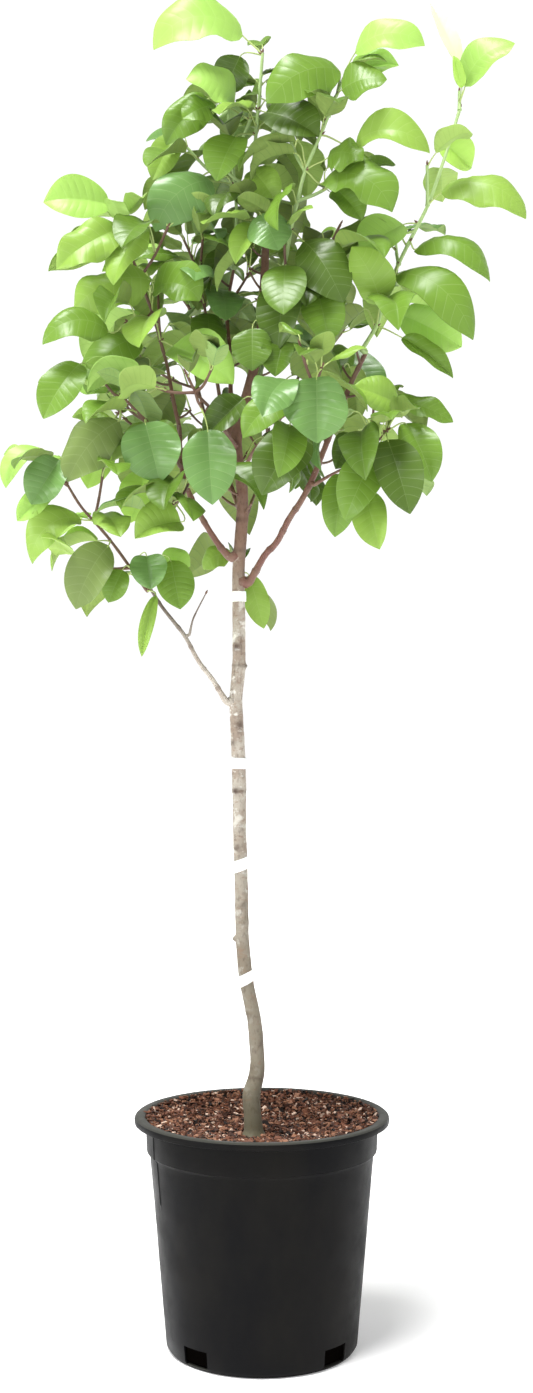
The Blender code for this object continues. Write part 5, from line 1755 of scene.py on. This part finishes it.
def pot_faces(rows, angles, rings):
    """Faces of the pot's shell, with the drain notches cut through its wall."""
    slots = {k for k, angle in enumerate(angles) for middle in DRAIN_MIDDLES
             if -DRAIN_HALF_ANGLE - ANGLE_PLAY < angle - middle < DRAIN_HALF_ANGLE - ANGLE_PLAY}
    wall = [k for k, (radius, height) in enumerate(rows)
            if POT_FLOOR <= height <= DRAIN_TOP and radius > INNER_RING]
    outer = wall[: len(wall) // 2]
    inner = wall[len(wall) // 2 :]
    slot_rows = outer[:-1] + inner[:-1]
    faces = ring_faces(rings, lambda row, side: row in slot_rows and side in slots)
    for k in sorted(slots):
        after = (k + 1) % len(angles)
        for out, back in ((outer[-1], inner[0]), (inner[-1], outer[0])):
            faces.append((rings[out][k], rings[back][k], rings[back][after], rings[out][after]))
        if k - 1 not in slots:
            faces.append(tuple(rings[row][k] for row in reversed(outer + inner)))
        if after not in slots:
            faces.append(tuple(rings[row][after] for row in outer + inner))
    return faces


def make_pot():
    """The pot's shell in one piece."""
    rows = pot_rows()
    angles = pot_angles()
    vertices, rings = pot_points(rows, angles)
    gather = Gather()
    gather.add(vertices, pot_faces(rows, angles, rings))
    return gather


def soil_level(radius):
    """The height of the potting mix at a radius."""
    places = (0, SOIL_LEVEL_RADIUS, SOIL_SHOULDER_RADIUS, SOIL_RADIUS)
    return float(np.interp(radius, places, (SOIL_MIDDLE, SOIL_MIDDLE, SOIL_SHOULDER, SOIL_EDGE)))


def make_soil_bed():
    """The body of the potting mix: its rough top, and its side and underside inside the pot, painted
    near-black as shade.
    """
    rows = [*SOIL_UNDER_ROWS, *((radius, None) for radius in np.linspace(SOIL_RADIUS, 2, SOIL_RINGS))]
    vertices = [UP * SOIL_UNDER_ROWS[0][1] * MM]
    rings = [[0] * SOIL_SIDES]
    for radius, height in rows:
        rings.append(range(len(vertices), len(vertices) + SOIL_SIDES))
        for side in range(SOIL_SIDES):
            turn = math.tau * side / SOIL_SIDES
            place = Vector((radius * math.cos(turn), radius * math.sin(turn), 0)) * MM
            rough = sum(lift * noise.noise(place * scale) for lift, scale in SOIL_LUMPS)
            level = height or soil_level(radius) + rough
            vertices.append(place + UP * level * MM)
    rings.append([len(vertices)] * SOIL_SIDES)
    vertices.append(UP * SOIL_MIDDLE * MM)
    # The side and underside take the near-black painted shade
    kinds = [1] * SOIL_SIDES * (len(SOIL_UNDER_ROWS) + 1) + [0] * SOIL_SIDES * SOIL_RINGS
    gather = Gather()
    gather.add(vertices, ring_faces(rings), kinds)
    return gather


def chip_shape(place, rng):
    """The corners of one small uneven wedge."""
    length = min(LONGEST_CHIP, USUAL_CHIP * math.exp(rng.gauss(*CHIP_SPREAD)))
    sizes = Vector((length, length * rng.uniform(*CHIP_WIDTHS), rng.uniform(*CHIP_HEIGHTS))) / 2
    roll, pitch = CHIP_TILTS
    tilt = Quaternion((1, 0, 0), rng.gauss(0, roll)) @ Quaternion((0, 1, 0), rng.gauss(0, pitch))
    tilt = Quaternion((0, 0, 1), rng.uniform(0, math.tau)) @ tilt
    vertices = []
    for corner in range(8):
        signs = [1 if corner >> bit & 1 else -1 for bit in range(3)]
        shape = Vector([sign * size * rng.uniform(*CHIP_CORNERS) for sign, size in zip(signs, sizes)])
        vertex = place + tilt @ shape
        vertex.z = min(vertex.z, POT_HEIGHT + CHIPS_OVER_RIM)
        vertices.append(vertex * MM)
    return vertices


def make_chips(trunk_foot):
    """Loose bark chips in several browns, all but at the trunk's foot."""
    rng = random.Random(CHIP_SEED)
    gather = Gather()
    faces = [(0, 2, 3, 1), (4, 5, 7, 6), (0, 1, 5, 4), (2, 6, 7, 3), (0, 4, 6, 2), (1, 3, 7, 5)]
    for _ in range(CHIP_COUNT):
        radius = CHIP_REACH * math.sqrt(rng.random())
        turn = rng.uniform(0, math.tau)
        heap = max(0, radius - SOIL_RADIUS + HEAP_WIDTH) * HEAP_SLOPE
        level = soil_level(radius) + rng.uniform(*CHIP_LEVELS) + heap
        place = Vector((radius * math.cos(turn), radius * math.sin(turn), level))
        if (place.xy * MM - trunk_foot.xy).length < BARE_RADIUS * MM:
            continue
        vertices = chip_shape(place, rng)
        gather.add(vertices, faces, rng.choices(range(len(CHIP_COLOURS)), CHIP_SHARES)[0])
    return gather


def tape_band(inner, half, seed):
    """Points of a thin band round the upright axis, with rounded edges and a little slack, and its faces."""
    thick = TIE_THICKNESS
    corners = ((0, 0.3 - half), (0.25, -half), (thick - 0.2, -half), (thick, 0.4 - half), (thick + 0.05, 0),
               (thick, half - 0.4), (thick - 0.2, half), (0.25, half), (0, half - 0.3))
    points = []
    for side in range(TAPE_SIDES):
        turn = math.tau * side / TAPE_SIDES
        slack = TAPE_SLACK * noise.noise(Vector((math.cos(turn) * 2, math.sin(turn) * 2, seed)))
        for out, up in corners:
            reach = inner + out + slack - TAPE_SNUG
            points.append(Vector((reach * math.cos(turn), reach * math.sin(turn), up + slack)) * MM)
    rings = [range(first, first + len(corners)) for first in range(0, len(points), len(corners))]
    return points, ring_faces([rings[0], *reversed(rings)])


def tape_end(outer, half):
    """Points and faces of the tape's cut end, which stands off behind."""
    points = []
    for out, away in TAPE_END:
        for thickness in (0, TAPE_END_THICKNESS):
            for up in (-half + TAPE_END_INSET, half - TAPE_END_INSET):
                point = Vector((outer + out + thickness - TAPE_END_SINK, away, up))
                points.append(Quaternion(UP, TAPE_END_BEARING) @ point * MM)
    faces = [(0, 2, 3, 1), (8, 9, 11, 10)]
    for k in (0, 4):
        faces += [(k, k + 1, k + 5, k + 4), (k + 2, k + 6, k + 7, k + 3)]
        faces += [(k, k + 4, k + 6, k + 2), (k + 1, k + 3, k + 7, k + 5)]
    return points, faces


def make_tie(name, trunk):
    """A band of tape wound round the trunk at its slant, with its cut end."""
    middle, inner, lean, rise = tie_place(name, trunk)
    height, band, _ = TIES[name]
    gather = Gather()
    for points, faces in (tape_band(inner, band / 2, height), tape_end(inner + TIE_THICKNESS, band / 2)):
        gather.add([middle + lean @ (point + UP * point.x * rise) for point in points], faces)
    return gather


def make_floor():
    """A plain white floor with a faint glow."""
    mesh = bpy.data.meshes.new("floor")
    corners = [(x * FLOOR_HALF, y * FLOOR_HALF, 0) for x, y in ((-1, -1), (1, -1), (1, 1), (-1, 1))]
    mesh.from_pydata(corners, [], [(0, 1, 2, 3)])
    white = make_principled("floor_white", FLOOR_WHITE, 0.9, Emission_Strength=FLOOR_GLOW,
                            Emission_Color=(1, 1, 1, 1))
    mesh.materials.append(white)
    link("floor", mesh)


def make_world():
    """White surroundings, bright near the horizon and dimmer overhead."""
    world = bpy.data.worlds.new("white_room")
    world.use_nodes = True
    tree = world.node_tree
    background = tree.nodes["Background"]
    background.inputs["Color"].default_value = (1, 1, 1, 1)
    height = upright_share(tree, "ShaderNodeTexCoord", "Generated")
    ends = zip(("From_Min", "From_Max", "To_Min", "To_Max"), (*HORIZON, *WORLD_STRENGTHS))
    tree.links.new(ramp(tree, height, **dict(ends)), background.inputs["Strength"])
    bpy.context.scene.world = world


def make_lamps():
    """A sun from high at the front left, and a window-like disk at the left."""
    for name, kind, place, size, energy in LAMPS:
        light = bpy.data.lights.new(name, kind)
        if kind == "SUN":
            light.angle = size
        else:
            light.shape = "DISK"
            light.size = size
        light.energy = energy
        aim = Vector(LAMPS_AIM) - Vector(place)
        link(name, light, place).rotation_euler = aim.to_track_quat("-Z", "Y").to_euler()


def make_camera():
    """The camera at the eye, looking level to the back."""
    camera = bpy.data.cameras.new("camera")
    camera.sensor_fit = "VERTICAL"
    camera.sensor_height = EYE_SENSOR
    camera.lens = EYE_LENS
    eye = link("camera", camera, metres(EYE))
    eye.rotation_euler = (math.pi / 2, 0, 0)
    bpy.context.scene.camera = eye
    bpy.context.scene.view_settings.view_transform = "Standard"


def make_skins():
    """The materials of each tone: the upper side, the underside, and the midrib and veins."""
    skins = {}
    for tone, (upper, under, roughness) in TONES.items():
        line = [RIB_SHARE * pale + (1 - RIB_SHARE) * own for pale, own in zip(RIB_COLOUR, upper)]
        skins[tone, "rib"] = make_principled("rib_" + tone, line, 0.5)
        skins[tone, "upper"] = make_principled("leaf_" + tone, upper, roughness, Specular_IOR_Level=0.3)
        skins[tone, "under"] = make_principled("under_leaf_" + tone, under, 0.6, Specular_IOR_Level=0.12)
    return skins


def dress_leaves(crown, limbs, stalks, buds):
    """The blades of each mass as one piece, and every stalk and bud gathered."""
    skins = make_skins()
    rows = blade_rows()
    faces, kinds = blade_faces(rows)
    for name, (_, _, _, _, seed, _) in MASSES.items():
        rng = random.Random(seed + BLADE_SEED)
        gather = Gather()
        numbers = {}
        for leaf in (leaf for leaf, _ in crown.leaves[name] if is_shown(leaf, limbs)):
            tone = leaf.tone or deal_tone_with_painted_light(name, leaf, rng)
            for side in ("upper", "under", "rib"):
                numbers.setdefault((tone, side), len(numbers))
            points = np.concatenate(blade_skins(leaf, rows, rng)).tolist()
            gather.add(points, faces, [numbers[tone, kind] for kind in kinds])
            dress_leaf(leaf, rng, stalks, buds)
        make_piece(name + "_blades", gather, [skins[skin] for skin in numbers], (name,))


def dress_trunk(limbs):
    """The trunk with its bark's relief."""
    gather = Gather()
    wood_tube(gather, *fine_line(*limbs["trunk"], TRUNK_FINE_STEP), TRUNK_FINE_SIDES, trunk_relief, True)
    make_piece("trunk_bark", gather, [make_trunk_bark()], ("trunk",))


def dress_boughs(limbs, buds):
    """The boughs with their bark's relief, and the bud at the bare twig's tip."""
    red = make_bough_bark()
    low = make_low_bark()
    for name, (carrier, *_) in LIMBS.items():
        line, radii = limbs[name]
        gather = Gather()
        depth = TRUNK_JOIN if carrier == "trunk" else BOUGH_JOIN
        limb_wood(gather, line, radii, depth, JOIN_SWELL, LIMB_FINE_STEP, LIMB_FINE_SIDES)
        material = low if name in ("bough_low_left", "twig_bare") else red
        make_piece(name + "_bark", gather, [material], (name,))
        if name == "twig_bare":
            spindle(buds, line[-1], tangent(line, len(line) - 1))


def dress_shoots(limbs, masses, spurs, buds):
    """The stems and twigs of the masses, each with its end bud, and the spurs."""
    shoots = Gather()
    twigs = Gather()
    for name, wood in masses.items():
        gather, stouter = (shoots, SHOOT_STOUTER) if name in GREEN_SHOOTS else (twigs, TWIG_STOUTER)
        carrier_line, carrier_radii = limbs[MASSES[name][0]]
        for k, (line, radii) in enumerate(wood):
            grown = [radius * stouter for radius in radii]
            from_tip = k == 0 and (line[0] - carrier_line[-1]).length < MM
            swell = max(0, TIP_MATCH * carrier_radii[-1] / grown[0] - 1) if from_tip else JOIN_SWELL
            depth = STEM_JOIN if k == 0 else TWIG_JOIN
            limb_wood(gather, line, grown, depth, swell, STEM_FINE_STEP, STEM_FINE_SIDES)
            spindle(buds, line[-1], tangent(line, len(line) - 1))
    for line, radii in spurs:
        limb_wood(twigs, line, radii, TWIG_JOIN, SPUR_JOIN_SWELL, STEM_FINE_STEP, STEM_FINE_SIDES)
    make_piece("green_shoots", shoots, [make_principled("shoot_green", SHOOT_COLOUR, 0.55)])
    make_piece("brown_twigs", twigs, [make_principled("twig_brown", TWIG_COLOUR, 0.6)])


def dress_pot(limbs):
    """The pot, the potting mix with its chips, and the ties."""
    make_piece("pot_shell", make_pot(), [make_plastic()], ("pot",), 32)
    # Near-black painted shade for the soil's side and underside
    dark = make_principled("soil_side_painted_shade", SOIL_SIDE_PAINTED_SHADE, 0.95, Specular_IOR_Level=0.0)
    make_piece("soil_bed", make_soil_bed(), [make_soil_bed_material(), dark], ("soil",), 50)
    chips = []
    for k, colour in enumerate(CHIP_COLOURS):
        chips.append(make_principled(f"chip_{k}", colour, 0.5, Specular_IOR_Level=0.16))
    make_piece("bark_chips", make_chips(limbs["trunk"][0][0]), chips, (), 30)
    tape = make_tape()
    for name in TIES:
        make_piece(name + "_tape", make_tie(name, limbs["trunk"]), [tape], (name,), 50)


def main():
    """Grows the tree, dresses it and the pot, and sets up the white room."""
    limbs = grow_limbs()
    crown, masses = grow_crown(limbs)
    for placed in crown.leaves.values():
        placed[:] = [pair for pair in placed if is_shown(pair[0], limbs)]
    add_rows(crown, masses, FILLING_LEAVES, FINE_ROOM)
    add_finer_leaves(crown, masses)
    spurs = add_spurs(crown, limbs)
    stalks = Gather()
    buds = Gather()
    dress_leaves(crown, limbs, stalks, buds)
    dress_trunk(limbs)
    dress_boughs(limbs, buds)
    dress_shoots(limbs, masses, spurs, buds)
    make_piece("leaf_stalks", stalks, [make_principled("stalk_green", STALK_COLOUR, 0.5)])
    make_piece("buds", buds, [make_principled("bud_brown", BUD_COLOUR, 0.5)])
    dress_pot(limbs)
    make_floor()
    make_world()
    make_lamps()
    make_camera()


main()
